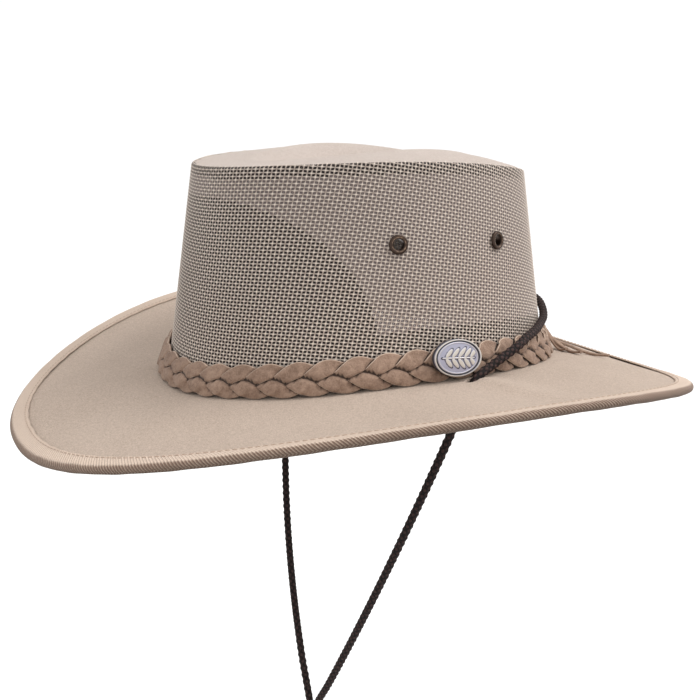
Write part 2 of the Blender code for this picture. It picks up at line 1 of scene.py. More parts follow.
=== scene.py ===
"""Safari hat dressed over its solids: canvas, open net, braided suede, old silver and a braided cord.

Metres, +Z up. The front of the hat is -Y and the wearer's left is +X. Angles go round the crown from
+X (left side) to +Y (back).
"""
import logging
import math
from dataclasses import dataclass, field
from enum import Enum
from typing import Any, Optional, Sequence, Union

import bpy
import numpy as np
from mathutils import Matrix, Vector


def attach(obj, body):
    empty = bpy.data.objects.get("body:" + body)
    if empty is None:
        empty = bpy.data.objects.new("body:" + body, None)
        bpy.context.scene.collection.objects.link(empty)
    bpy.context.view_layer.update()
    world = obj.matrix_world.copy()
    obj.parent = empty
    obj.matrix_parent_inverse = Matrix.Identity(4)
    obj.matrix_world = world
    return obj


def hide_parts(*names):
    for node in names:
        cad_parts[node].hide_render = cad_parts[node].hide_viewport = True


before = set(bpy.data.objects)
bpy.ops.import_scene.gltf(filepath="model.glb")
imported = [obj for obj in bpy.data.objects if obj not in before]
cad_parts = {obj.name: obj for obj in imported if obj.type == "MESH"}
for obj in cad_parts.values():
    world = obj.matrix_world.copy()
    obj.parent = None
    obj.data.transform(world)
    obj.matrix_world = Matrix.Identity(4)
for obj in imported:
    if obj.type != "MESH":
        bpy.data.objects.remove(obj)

LOG = logging.getLogger("hat")
BODY = "root"
TURN = 2.0 * math.pi
MM = 0.001

Colour = tuple[float, float, float]


class Side(Enum):
    """The wearer's left or right, as the sign of X."""

    LEFT = 1.0
    RIGHT = -1.0


class Tone(Enum):
    """Colours of the stuffs in linear light."""

    CANVAS = (0.575, 0.458, 0.372)
    CANVAS_SHADE = (0.400, 0.305, 0.238)
    TIP = (0.570, 0.490, 0.440)
    TIP_SHADE = (0.450, 0.372, 0.322)
    # The tape's pale top is painted light, and TAPE_SHADE in its grooves is painted shade.
    TAPE = (0.610, 0.480, 0.385)
    TAPE_SHADE = (0.200, 0.128, 0.090)
    THREAD = (0.560, 0.430, 0.340)
    THREAD_SHADE = (0.360, 0.262, 0.200)
    # NET to NET_SHADE runs from a painted highlight on crests to painted shade low on the yarn; the two
    # tones after them are painted shade on hole flanks.
    NET = (0.880, 0.790, 0.690)
    NET_SHADE = (0.380, 0.310, 0.262)
    NET_FLANK = (0.120, 0.094, 0.090)
    NET_BLACK = (0.012, 0.007, 0.006)
    BLACK_CLOTH = (0.004, 0.003, 0.003)
    INNER_CLOTH = (0.300, 0.250, 0.205)
    SUEDE = (0.345, 0.232, 0.168)
    SUEDE_DARK = (0.180, 0.110, 0.075)
    # Painted highlight on cut edges, and painted shadow under strips that lie over.
    SUEDE_EDGE = (0.600, 0.470, 0.370)
    SUEDE_DEEP = (0.045, 0.026, 0.018)
    SILVER = (0.640, 0.600, 0.550)
    SILVER_FIELD = (0.400, 0.400, 0.500)
    PATINA = (0.045, 0.042, 0.048)
    BRONZE = (0.052, 0.034, 0.026)
    # Painted highlight on the eyelet's crest, with rubbing.
    BRONZE_WORN = (0.300, 0.205, 0.140)
    CORD = (0.052, 0.027, 0.024)
    # Painted shade between the cord's strands; also the dark of the scuffed bead.
    CORD_DARK = (0.004, 0.002, 0.002)
    CORD_FLECK = (0.160, 0.098, 0.086)
    FLOOR = (0.990, 0.990, 0.990)


# Arithmetic on arrays


def mix(a: Any, b: Any, share: Any) -> Any:
    """Goes from a at share 0 to b at share 1 in a straight line."""
    return a + (b - a) * share


def smooth(low: float, high: float, value: np.ndarray) -> np.ndarray:
    """Smooth step: 3t squared minus 2t cubed, with t the clipped share of value between low and high."""
    t = np.clip((value - low) / (high - low), 0.0, 1.0)
    return t * t * (3.0 - 2.0 * t)


def rounded(wave: np.ndarray, power: float) -> np.ndarray:
    """A cosine or sine pushed towards a square one: its sign times its size to a power."""
    return np.sign(wave) * np.abs(wave) ** power


def round_angles(count: int) -> np.ndarray:
    """Angles of points spaced evenly round a circle, from 0."""
    return np.linspace(0.0, TURN, count, endpoint=False)


def circle(angle: np.ndarray) -> np.ndarray:
    """Points on a circle of radius 1."""
    return np.stack([np.cos(angle), np.sin(angle)], -1)


def unit(vectors: np.ndarray) -> np.ndarray:
    """Vectors divided by their own lengths."""
    return vectors / np.linalg.norm(vectors, axis=-1, keepdims=True)


def running_length(points: np.ndarray) -> np.ndarray:
    """Distance along a line of points, from its first one."""
    steps = np.linalg.norm(np.diff(points, axis=0), axis=-1)
    return np.concatenate([[0.0], np.cumsum(steps)])


def closed_length(points: np.ndarray) -> np.ndarray:
    """Distance along a closed line of points, from its first one and back to it."""
    return running_length(np.vstack([points, points[:1]]))


def smooth_curve(route: Sequence[Sequence[float]], steps: int = 24) -> np.ndarray:
    """Dense points on the centripetal Catmull-Rom curve through a route.

    Args:
        route: Points that the curve passes through.
        steps: Points on each piece between two route points.

    Returns:
        Points as an array of rows.
    """
    points = np.array(route, float)
    ends = np.vstack([2.0 * points[0] - points[1], points, 2.0 * points[-1] - points[-2]])
    found = []
    for p0, p1, p2, p3 in zip(ends, ends[1:], ends[2:], ends[3:]):
        t0 = 0.0
        t1 = t0 + np.linalg.norm(p1 - p0) ** 0.5
        t2 = t1 + np.linalg.norm(p2 - p1) ** 0.5
        t3 = t2 + np.linalg.norm(p3 - p2) ** 0.5
        t = np.linspace(t1, t2, steps, endpoint=False)[:, None]
        a1 = (t1 - t) / (t1 - t0) * p0 + (t - t0) / (t1 - t0) * p1
        a2 = (t2 - t) / (t2 - t1) * p1 + (t - t1) / (t2 - t1) * p2
        a3 = (t3 - t) / (t3 - t2) * p2 + (t - t2) / (t3 - t2) * p3
        b1 = (t2 - t) / (t2 - t0) * a1 + (t - t0) / (t2 - t0) * a2
        b2 = (t3 - t) / (t3 - t1) * a2 + (t - t1) / (t3 - t1) * a3
        found.append((t2 - t) / (t2 - t1) * b1 + (t - t1) / (t2 - t1) * b2)
    return np.vstack([*found, points[-1:]])


def even_points(curve: np.ndarray, spacing: float) -> np.ndarray:
    """Points at even distances along a dense curve."""
    length = running_length(curve)
    wanted = np.linspace(0.0, length[-1], max(2, round(length[-1] / spacing) + 1))
    return np.stack([np.interp(wanted, length, curve[:, k]) for k in range(3)], -1)


# The hat's surfaces


@dataclass(frozen=True)
class HatForm:
    """The laws of the hat's surfaces, with the same sizes as its solids."""

    foot_half_width: float = 0.0860
    foot_half_length: float = 0.1010
    top_half_width: float = 0.0730
    top_half_length: float = 0.0858
    foot_level: float = 0.0015
    foot_saddle: float = 0.0058
    seam_level: float = 0.0977
    seam_saddle: float = 0.0032
    seam_back_drop: float = 0.0029
    net_wall: float = 0.0010
    panel_wall: float = 0.0010
    sweatband_wall: float = 0.0014
    gap: float = 0.0003
    rim_half_width: float = 0.1562
    rim_half_length: float = 0.1600
    rim_shift_front: float = 0.0164
    rim_squareness: float = 2.27
    rim_egg: float = 0.218
    rim_level: float = -0.0033
    rim_back_rise: float = 0.0055
    rim_saddle: float = 0.0149
    rim_corner_rise: float = 0.0011
    brim_thickness: float = 0.0018
    brim_bow: float = 0.0028
    binding_thickness: float = 0.0044
    binding_width: float = 0.0085
    binding_lip: float = 0.0009
    band_height: float = 0.0138
    band_thickness: float = 0.0050

    def foot(self, angle: np.ndarray) -> np.ndarray:
        """Height of the brim's top at the crown: a level plus a saddle, cosine of twice the angle."""
        return self.foot_level + self.foot_saddle * np.cos(2.0 * angle)

    def seam(self, angle: np.ndarray) -> np.ndarray:
        """Height of the net's top edge: a level, a saddle and a drop at the back."""
        wave = self.seam_saddle * np.cos(2.0 * angle) - self.seam_back_drop * np.sin(angle)
        return self.seam_level + wave

    def wall(self, angle: np.ndarray, share: Any, off: Any) -> np.ndarray:
        """Point on the crown's wall.

        An oval cone: half width and half length go in a straight line from foot to top, both grown
        by off, and the height goes from the foot's height to the seam's.

        Args:
            angle: Angle round the crown.
            share: 0 at the foot to 1 at the seam.
            off: Distance outside the net's outer face.

        Returns:
            Points with a last axis of 3.
        """
        width = mix(self.foot_half_width, self.top_half_width, share) + off
        length = mix(self.foot_half_length, self.top_half_length, share) + off
        height = mix(self.foot(angle), self.seam(angle), share)
        x, y, z = np.broadcast_arrays(width * np.cos(angle), length * np.sin(angle), height)
        return np.stack([x, y, z], -1)

    def wall_height(self, angle: np.ndarray) -> np.ndarray:
        """Height of the wall from foot to seam."""
        return self.seam(angle) - self.foot(angle)

    def slant(self, angle: np.ndarray) -> np.ndarray:
        """Length of the wall from foot to seam, measured up its slope."""
        taper = np.hypot(
            (self.foot_half_width - self.top_half_width) * np.cos(angle),
            (self.foot_half_length - self.top_half_length) * np.sin(angle),
        )
        return np.hypot(self.wall_height(angle), taper)

    def layer(self, count: int) -> float:
        """Offset of an inner layer's outer face: 0 the panel or the tip, 1 the sweatband."""
        walls = (self.net_wall, self.panel_wall, self.sweatband_wall)
        return -sum(wall + self.gap for wall in walls[: count + 1])

    def rim(self, angle: np.ndarray) -> np.ndarray:
        """Outer edge of the binding seen from above: a superellipse, wider at the back."""
        power = 2.0 / self.rim_squareness
        across = rounded(np.cos(angle), power)
        along = rounded(np.sin(angle), power)
        x = self.rim_half_width * across * (1.0 + self.rim_egg * np.sin(angle))
        return np.stack([x, self.rim_half_length * along - self.rim_shift_front], -1)

    def rim_height(self, angle: np.ndarray) -> np.ndarray:
        """Height of the rim: a level, a rise at the back, a saddle and a small wave of three."""
        corner = self.rim_corner_rise * np.sin(3.0 * angle)
        saddle = self.rim_saddle * np.cos(2.0 * angle) + corner
        return self.rim_level + self.rim_back_rise * np.sin(angle) + saddle

    def brim_inner(self, angle: np.ndarray) -> np.ndarray:
        """Inner edge of the brim seen from above."""
        low = -self.brim_thickness / self.wall_height(angle)
        return self.wall(angle, low, self.layer(1) + self.gap)[..., :2]

    def brim_reach(self, angle: np.ndarray) -> np.ndarray:
        """Length of the brim from its inner edge to the rim, seen from above."""
        return np.linalg.norm(self.rim(angle) - self.brim_inner(angle), axis=-1)

    def brim(self, angle: np.ndarray, share: np.ndarray, rise: Any) -> np.ndarray:
        """Point of the brim.

        A straight run from inner edge to rim, with a bow that is a parabola along it and turns from
        down at the sides to up at front and back.

        Args:
            angle: Angle round the crown.
            share: 0 at the inner edge to 1 at the rim.
            rise: Height above the middle surface.

        Returns:
            Points with a last axis of 3.
        """
        angle, share, rise = np.broadcast_arrays(angle, share, rise)
        plan = mix(self.brim_inner(angle), self.rim(angle), share[..., None])
        inner = self.foot(angle) - self.brim_thickness / 2.0
        bow = -self.brim_bow * np.cos(2.0 * angle) * 4.0 * share * (1.0 - share)
        height = mix(inner, self.rim_height(angle), share) + bow + rise
        return np.concatenate([plan, height[..., None]], -1)

    def brim_top_at(self, x: float, y: float) -> float:
        """Height of the brim's top under a point seen from above, from the nearest point of a grid."""
        angles, shares = np.meshgrid(np.linspace(0.0, TURN, 721), np.linspace(0.0, 1.0, 81))
        grid = self.brim(angles, shares, self.brim_thickness / 2.0)
        away = np.hypot(grid[..., 0] - x, grid[..., 1] - y)
        return float(grid[..., 2].ravel()[away.argmin()])

    def wall_frame(self, angle: float, share: float, off: float) -> np.ndarray:
        """Place on the wall as a 4 by 4 matrix: X along the wall, Y up it and Z straight out."""
        step = 1e-4
        at = np.array([angle, angle + step, angle])
        place, along, up = self.wall(at, np.array([share, share, share + step]), off)
        along = unit(along - place)
        out = unit(np.cross(along, up - place))
        turn = np.identity(4)
        turn[:3] = np.stack([along, np.cross(out, along), out, place], 1)
        return turn


FORM = HatForm()


# Meshes


@dataclass
class Shell:
    """Grows one mesh out of arrays: points, faces, and two surface coordinates at each corner.

    Surface coordinates are in metres along and across the stuff. Relief is one number a point.
    """

    name: str
    points: list[np.ndarray] = field(default_factory=list)
    faces: list[np.ndarray] = field(default_factory=list)
    marks: list[np.ndarray] = field(default_factory=list)
    relief: list[np.ndarray] = field(default_factory=list)
    count: int = 0

    def add(
        self,
        points: np.ndarray,
        faces: np.ndarray,
        marks: Optional[np.ndarray] = None,
        relief: Optional[np.ndarray] = None,
    ) -> None:
        """Adds points and faces that count from the first of them.

        Args:
            points: Rows of three.
            faces: One row of point numbers for each face.
            marks: Surface coordinates at each corner of each face.
            relief: One number for each point.
        """
        self.points.append(points)
        self.faces.append(faces + self.count)
        self.marks.append(np.zeros((*faces.shape, 2)) if marks is None else marks)
        self.relief.append(np.zeros(len(points)) if relief is None else relief)
        self.count += len(points)

    def grid(
        self,
        points: np.ndarray,
        wrap_rows: bool = False,
        wrap_columns: bool = False,
        along: Optional[np.ndarray] = None,
        across: Optional[np.ndarray] = None,
        relief: Optional[np.ndarray] = None,
        caps: bool = False,
    ) -> None:
        """Adds a surface over two parameters, with one quad between four neighbours.

        Args:
            points: Array of rows, columns and three.
            wrap_rows: The last row joins the first.
            wrap_columns: The last column joins the first.
            along: Surface coordinate of each row, and of the row past the last where rows wrap.
            across: The same for columns.
            relief: One number for each point.
            caps: Closes the first and last row with a fan each.
        """
        rows, columns = points.shape[:2]
        i, j = np.meshgrid(
            np.arange(rows if wrap_rows else rows - 1),
            np.arange(columns if wrap_columns else columns - 1),
            indexing="ij",
        )
        turns = ((i, j), (i + 1, j), (i + 1, j + 1), (i, j + 1))
        faces = np.stack([(a % rows) * columns + b % columns for a, b in turns], -1)
        along = np.arange(rows + 1.0) if along is None else along
        across = np.arange(columns + 1.0) if across is None else across
        marks = np.stack([np.stack([along[a], across[b]], -1) for a, b in turns], -2)
        first = self.count
        flat = None if relief is None else relief.reshape(-1)
        self.add(points.reshape(-1, 3), faces.reshape(-1, 4), marks.reshape(-1, 4, 2), flat)
        if caps:
            ring = np.arange(columns)
            self.fan(points[0].mean(0), first + ring)
            self.fan(points[-1].mean(0), first + (rows - 1) * columns + ring[::-1])

    def fan(self, centre: np.ndarray, ring: np.ndarray) -> None:
        """Closes a ring of points, named by number, with triangles to a new point."""
        here = self.count
        faces = np.stack([ring, np.roll(ring, -1), np.full(len(ring), here)], -1)
        self.add(centre[None], faces - here)

    def plain(self, material: Optional[bpy.types.Material], sharp: float = 50.0) -> bpy.types.Object:
        """Makes an object at the origin, turned outwards by the sign of its volume.

        Args:
            material: What it is made of, if anything.
            sharp: Edges with a greater angle than this, in degrees, stay sharp.

        Returns:
            The object.
        """
        points = np.vstack(self.points)
        volume = 0.0
        for faces in self.faces:
            a, b, c = points[faces[:, 0]], points[faces[:, 1]], points[faces[:, 2]]
            volume += np.einsum("ij,ij->", a, np.cross(b, c))
            if faces.shape[1] == 4:
                volume += np.einsum("ij,ij->", a, np.cross(c, points[faces[:, 3]]))
        turn = slice(None, None, -1 if volume < 0.0 else 1)
        corners = np.concatenate([faces[:, turn].ravel() for faces in self.faces])
        marks = np.concatenate([marks[:, turn].reshape(-1, 2) for marks in self.marks])
        totals = np.concatenate([np.full(len(faces), faces.shape[1]) for faces in self.faces])
        mesh = bpy.data.meshes.new(self.name)
        mesh.vertices.add(len(points))
        mesh.vertices.foreach_set("co", points.astype(np.float32).ravel())
        mesh.loops.add(len(corners))
        mesh.loops.foreach_set("vertex_index", corners.astype(np.int32))
        mesh.polygons.add(len(totals))
        starts = np.concatenate([[0], np.cumsum(totals)[:-1]])
        mesh.polygons.foreach_set("loop_start", starts.astype(np.int32))
        mesh.update(calc_edges=True)
        layer = mesh.uv_layers.new(name="surface")
        layer.data.foreach_set("uv", marks.astype(np.float32).ravel())
        height = mesh.attributes.new("relief", "FLOAT", "POINT")
        height.data.foreach_set("value", np.concatenate(self.relief).astype(np.float32))
        mesh.validate()
        mesh.shade_smooth()
        mesh.set_sharp_from_angle(angle=math.radians(sharp))
        if material is not None:
            mesh.materials.append(material)
        piece = bpy.data.objects.new(self.name, mesh)
        bpy.context.scene.collection.objects.link(piece)
        return piece

    def build(
        self,
        material: bpy.types.Material,
        slot: str,
        node: Optional[str] = None,
        sharp: float = 50.0,
    ) -> bpy.types.Object:
        """Makes a piece of the hat, which rides on its body.

        Args:
            material: What it is made of.
            slot: Not used.
            node: Node of the solids that it replaces, if any.
            sharp: Edges with a greater angle than this, in degrees, stay sharp.

        Returns:
            The piece.
        """
        piece = self.plain(material, sharp)
        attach(piece, BODY)
        if node is not None:
            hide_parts(node)
        return piece


def bored(piece: bpy.types.Object, cutters: Sequence[bpy.types.Object]) -> None:
    """Takes cutters away from a piece for good and removes them."""
    for cutter in cutters:
        modifier = piece.modifiers.new("bore", "BOOLEAN")
        modifier.operation = "DIFFERENCE"
        modifier.solver = "EXACT"
        modifier.object = cutter
    graph = bpy.context.evaluated_depsgraph_get()
    cut = bpy.data.meshes.new_from_object(piece.evaluated_get(graph), depsgraph=graph)
    piece.modifiers.clear()
    piece.data = cut
    for cutter in cutters:
        bpy.data.objects.remove(cutter, do_unlink=True)


def post(x: float, y: float, half: Sequence[float], low: float, high: float) -> bpy.types.Object:
    """An upright oval cylinder to cut with.

    Args:
        x: Middle.
        y: Middle.
        half: Half width and half length.
        low: Height of its foot.
        high: Height of its head.

    Returns:
        The cutter.
    """
    turn = round_angles(40)
    ring = np.array([x, y]) + np.array(half) * circle(turn)
    rows = [np.c_[ring, np.full(len(ring), level)] for level in (low, high)]
    shell = Shell("cutter")
    shell.grid(np.stack(rows), wrap_columns=True, caps=True)
    return shell.plain(None)


def swept(path: np.ndarray, aside: np.ndarray, section: np.ndarray) -> np.ndarray:
    """Carries sections along a path.

    Args:
        path: Rows of points.
        aside: A direction for each of them, roughly across the path.
        section: Sideways and upward distances, as rows, section points and two.

    Returns:
        Points as rows, section points and three.
    """
    ahead = unit(np.gradient(path, axis=0))
    aside = unit(aside - ahead * np.einsum("ij,ij->i", aside, ahead)[:, None])
    up = np.cross(ahead, aside)
    side_part = section[..., 0, None] * aside[:, None, :]
    return path[:, None, :] + side_part + section[..., 1, None] * up[:, None, :]


def ribbon_section(half_width: Any, thickness: Any, points: int, crown: float = 0.0) -> np.ndarray:
    """Section of a flat strip with round edges: a superellipse, with its middle lifted by crown.

    Args:
        half_width: Half the width, one value or one for each row.
        thickness: Thickness, the same.
        points: Points round the section.
        crown: Lift of the middle over the edges.

    Returns:
        Sideways and upward distances, as rows, points and two.
    """
    turn = round_angles(points)
    across = rounded(np.cos(turn), 0.42)
    up = rounded(np.sin(turn), 0.5)
    half_width = np.atleast_1d(half_width)[:, None]
    thickness = np.atleast_1d(thickness)[:, None]
    sideways = half_width * across
    upward = thickness / 2.0 * up + crown * (1.0 - across**2)
    return np.stack(np.broadcast_arrays(sideways, upward), -1)


# Materials


class Wire:
    """A number socket that takes part in arithmetic, each operator adding one Math node."""

    def __init__(self, paint: "Paint", socket: bpy.types.NodeSocket) -> None:
        """Wraps a socket of a paint's tree."""
        self.paint = paint
        self.socket = socket

    def math(self, operation: str, *values: Any) -> "Wire":
        """Adds a Math node over values in order, where None stands for this wire."""
        inputs = {k: self if value is None else value for k, value in enumerate(values)}
        made = self.paint.node("ShaderNodeMath", {"operation": operation}, inputs)
        return Wire(self.paint, made.outputs[0])

    def __add__(self, other: Any) -> "Wire":
        """Sum."""
        return self.math("ADD", None, other)

    def __sub__(self, other: Any) -> "Wire":
        """Difference."""
        return self.math("SUBTRACT", None, other)

    def __mul__(self, other: Any) -> "Wire":
        """Product."""
        return self.math("MULTIPLY", None, other)

    def sine(self) -> "Wire":
        """Sine."""
        return self.math("SINE", None)

    def size(self) -> "Wire":
        """Value without its sign."""
        return self.math("ABSOLUTE", None)

    def ramp(self, low: float, high: float) -> "Wire":
        """Smooth step from 0 at low to 1 at high."""
        made = self.paint.node(
            "ShaderNodeMapRange",
            {"interpolation_type": "SMOOTHSTEP"},
            {"Value": self, "From Min": low, "From Max": high},
        )
        return Wire(self.paint, made.outputs[0])


Feed = Union[Wire, bpy.types.NodeSocket, float, Sequence[float]]


class Paint:
    """A material's node tree, written as expressions."""

    def __init__(self, name: str) -> None:
        """Starts a material with a Principled shader and an output."""
        self.material = bpy.data.materials.new(name)
        self.material.use_nodes = True
        self.tree = self.material.node_tree
        self.tree.nodes.clear()
        self.shader = self.node("ShaderNodeBsdfPrincipled")
        self.node("ShaderNodeOutputMaterial", None, {"Surface": self.shader.outputs[0]})

    def node(
        self,
        kind: str,
        settings: Optional[dict[str, Any]] = None,
        values: Optional[dict[Any, Feed]] = None,
    ) -> bpy.types.Node:
        """Adds a node.

        Args:
            kind: Its type.
            settings: Its own settings, set first.
            values: A value or a link for each socket.

        Returns:
            The node.
        """
        made = self.tree.nodes.new(kind)
        for key, value in (settings or {}).items():
            setattr(made, key, value)
        for key, value in (values or {}).items():
            self.feed(made.inputs[key], value)
        return made

    def feed(self, socket: bpy.types.NodeSocket, value: Feed) -> None:
        """Sets a socket to a value or links it."""
        value = value.socket if isinstance(value, Wire) else value
        if isinstance(value, bpy.types.NodeSocket):
            self.tree.links.new(value, socket)
        else:
            socket.default_value = value

    def place(self, output: str = "Object") -> tuple[bpy.types.NodeSocket, Wire, Wire, Wire]:
        """Coordinates of a point: the vector and its three numbers."""
        vector = self.node("ShaderNodeTexCoord").outputs[output]
        parts = self.node("ShaderNodeSeparateXYZ", None, {0: vector}).outputs
        return vector, *(Wire(self, part) for part in parts)

    def noise(self, vector: Feed, scale: float, detail: float = 3.0, rough: float = 0.6) -> Wire:
        """Noise from 0 to 1.

        Args:
            vector: Coordinates in metres.
            scale: Lumps to the metre.
            detail: Octaves.
            rough: Weight of the finer ones.

        Returns:
            The noise.
        """
        values = {"Vector": vector, "Scale": scale, "Detail": detail, "Roughness": rough}
        return Wire(self, self.node("ShaderNodeTexNoise", None, values).outputs[0])

    def relief(self) -> Wire:
        """The piece's own relief, one number a point."""
        made = self.node("ShaderNodeAttribute", {"attribute_name": "relief"})
        return Wire(self, made.outputs["Fac"])

    def blend(self, share: Feed, first: Any, second: Any) -> bpy.types.NodeSocket:
        """Mixes two colours."""
        values = {0: share, 6: self.colour(first), 7: self.colour(second)}
        settings = {"data_type": "RGBA", "clamp_factor": True}
        return self.node("ShaderNodeMix", settings, values).outputs[2]

    @staticmethod
    def colour(value: Any) -> Any:
        """A tone as four numbers, or a socket as it is."""
        return (*value.value, 1.0) if isinstance(value, Tone) else value

    def dress(
        self,
        base: Any,
        roughness: Feed,
        height: Optional[Wire] = None,
        depth: float = 0.0,
        **fixed: Any,
    ) -> bpy.types.Material:
        """Feeds the shader.

        Args:
            base: Base colour.
            roughness: Roughness.
            height: Relief from 0 to 1.
            depth: What height 1 means in metres.
            fixed: Other sockets of the shader, with spaces as underscores, and their values.

        Returns:
            The material.
        """
        self.feed(self.shader.inputs["Base Color"], self.colour(base))
        self.feed(self.shader.inputs["Roughness"], roughness)
        if height is not None:
            bump = self.node("ShaderNodeBump", None, {"Height": height, "Distance": depth})
            self.feed(self.shader.inputs["Normal"], bump.outputs[0])
        for key, value in fixed.items():
            self.feed(self.shader.inputs[key.replace("_", " ")], value)
        return self.material


@dataclass(frozen=True)
class Canvas:
    """Brushed cotton canvas: fine crossed threads under a short nap, in lengths of metres."""

    name: str
    light: Tone = Tone.CANVAS
    shade: Tone = Tone.CANVAS_SHADE
    thread: float = 0.00062
    nap_scale: float = 1500.0
    slub_scale: float = 600.0
    mottle_scale: float = 14.0
    depth: float = 0.0005

    def make(self) -> bpy.types.Material:
        """Threads are the product of two sines; the nap and the mottling are noise."""
        paint = Paint(self.name)
        place, x, y, _ = paint.place()
        turn = TURN / self.thread
        threads = (x * turn).sine() * (y * turn).sine()
        nap = paint.noise(place, self.nap_scale, 2.0, 0.7)
        slub = paint.noise(place, self.slub_scale, 2.0)
        mottle = paint.noise(place, self.mottle_scale, 2.0)
        share = threads * 0.15 + nap * 2.6 + slub * 0.9 + mottle * 0.7 - 1.55
        base = paint.blend(share, self.shade, self.light)
        height = threads * 0.25 + nap * 0.6 + slub * 0.3
        return paint.dress(base, 0.95, height, self.depth, Sheen_Weight=0.08, Sheen_Roughness=0.6)


@dataclass(frozen=True)
class RibbedTape:
    """Herringbone tape, read along it and across it from the line where its ribs turn."""

    name: str
    rib: float = 0.0015
    lean: float = 1.1
    lit_top_start: float = -0.0024
    lit_top_end: float = -0.0040
    nap_scale: float = 1400.0
    mottle_scale: float = 22.0
    depth: float = 0.0005

    def make(self) -> bpy.types.Material:
        """Ribs are a sine of the distance along plus lean times that from the turn, with painted shade
        in the grooves; the lip and top face are pale with painted light.
        """
        paint = Paint(self.name)
        _, along, across, _ = paint.place("UV")
        place = paint.place()[0]
        rib = ((along + across.size() * self.lean) * (TURN / self.rib)).sine() * 0.5 + 0.5
        nap = paint.noise(place, self.nap_scale, 2.0)
        mottle = paint.noise(place, self.mottle_scale, 2.0)
        # Painted light on the top face and lip, where the ribs fade too; below it the grooves keep their
        # painted shade.
        lip = across.ramp(self.lit_top_start, self.lit_top_end)
        share = mix(rib * 0.6, rib * 0.2 + 1.15, lip) + nap * 0.9 + mottle * 0.5 - 0.92
        base = paint.blend(share, Tone.TAPE_SHADE, Tone.TAPE)
        return paint.dress(base, 0.9, rib * 0.8 + nap * 0.2, self.depth, Sheen_Weight=0.05)


@dataclass(frozen=True)
class CoatedNet:
    """Coated threads of the net, a little glossy. Across holds what lies behind them, 0 or 1, for
    painted shade on the hole flanks.
    """

    name: str
    coat_scale: float = 900.0
    cloud_scale: float = 18.0
    depth: float = 0.00006

    def make(self) -> bpy.types.Material:
        """Tone follows the relief as painted light: pale crests, shaded low yarn, and hole flanks in a
        painted shade as dark as what lies behind.
        """
        paint = Paint(self.name)
        _, _, backing_shade, _ = paint.place("UV")
        place = paint.place()[0]
        relief = paint.relief()
        coat = paint.noise(place, self.coat_scale, 2.0)
        cloud = paint.noise(place, self.cloud_scale, 2.0)
        # Painted light on the yarn: pale crests, darker towards the hollows.
        share = relief.ramp(0.2, 1.0) + coat * 0.6 + cloud * 0.3 - 0.45
        strand = paint.blend(share, Tone.NET_SHADE, Tone.NET)
        # Painted shade on the hole flanks: near-black over black cloth, dark over the open crown.
        flank_shade = paint.blend(backing_shade, Tone.NET_BLACK, Tone.NET_FLANK)
        base = paint.blend(relief.ramp(-0.20, 0.16), flank_shade, strand)
        return paint.dress(base, 0.6, coat, self.depth, Specular_IOR_Level=0.3)


@dataclass(frozen=True)
class LiningCloth:
    """Knitted lining, black on the outer face and pale on the face towards the head."""

    name: str
    wale: float = 0.0011
    fibre_scale: float = 1200.0
    depth: float = 0.0003

    def make(self) -> bpy.types.Material:
        """Relief 0 is the outer face and 1 the inner; wales are a sine of the distance along."""
        paint = Paint(self.name)
        _, along, across, _ = paint.place("UV")
        wale = (along * (TURN / self.wale)).sine() * (across * (TURN / self.wale)).sine()
        fibre = paint.noise(paint.place()[0], self.fibre_scale, 2.0)
        inner = paint.blend(fibre, Tone.CANVAS_SHADE, Tone.INNER_CLOTH)
        base = paint.blend(paint.relief().ramp(0.4, 0.6), Tone.BLACK_CLOTH, inner)
        height = wale * 0.3 + fibre * 0.5
        return paint.dress(base, 0.92, height, self.depth, Specular_IOR_Level=0.1)


@dataclass(frozen=True)
class Suede:
    """Suede strip: short nap, uneven tone, a painted highlight on cut edges and painted shadow under
    other strips.
    """

    name: str
    nap_scale: float = 1500.0
    grain_scale: float = 330.0
    patch_scale: float = 55.0
    depth: float = 0.0007

    def make(self) -> bpy.types.Material:
        """Tone is noise at three sizes; relief is 1 at a cut edge, painted as highlight, and below 0
        under another strip, painted as shadow.
        """
        paint = Paint(self.name)
        place = paint.place()[0]
        edge = paint.relief()
        nap = paint.noise(place, self.nap_scale, 3.0, 0.7)
        grain = paint.noise(place, self.grain_scale, 3.0)
        patch = paint.noise(place, self.patch_scale, 2.0)
        share = nap * 1.5 + grain * 1.7 + patch * 1.1 - 1.65
        face = paint.blend(share, Tone.SUEDE_DARK, Tone.SUEDE)
        # Painted highlight along the cut edges, broken up by the grain.
        edge_highlight = edge.ramp(0.45, 0.9) * (grain * 0.9 + 0.3)
        lit = paint.blend(edge_highlight, face, Tone.SUEDE_EDGE)
        # Painted shadow where another strip lies over this one.
        base = paint.blend(edge.ramp(0.0, -1.0), lit, Tone.SUEDE_DEEP)
        height = nap * 0.55 + grain * 0.6
        return paint.dress(base, 0.97, height, self.depth, Sheen_Weight=0.1, Sheen_Roughness=0.5)


@dataclass(frozen=True)
class OldSilver:
    """Silver plate with dark patina where its relief is low."""

    name: str
    tarnish_scale: float = 500.0
    scratch_scale: float = 2600.0
    depth: float = 0.00002

    def make(self) -> bpy.types.Material:
        """Relief 0 is patina, 0.5 the field and 1 the polished tops."""
        paint = Paint(self.name)
        place = paint.place()[0]
        relief = paint.relief()
        tarnish = paint.noise(place, self.tarnish_scale, 3.0)
        field_tone = paint.blend(relief.ramp(0.55, 0.85), Tone.SILVER_FIELD, Tone.SILVER)
        base = paint.blend(relief.ramp(0.15, 0.46), Tone.PATINA, field_tone)
        roughness = tarnish * 0.2 + 0.42 - relief * 0.12
        height = paint.noise(place, self.scratch_scale, 2.0)
        return paint.dress(base, roughness, height, self.depth, Metallic=0.5)


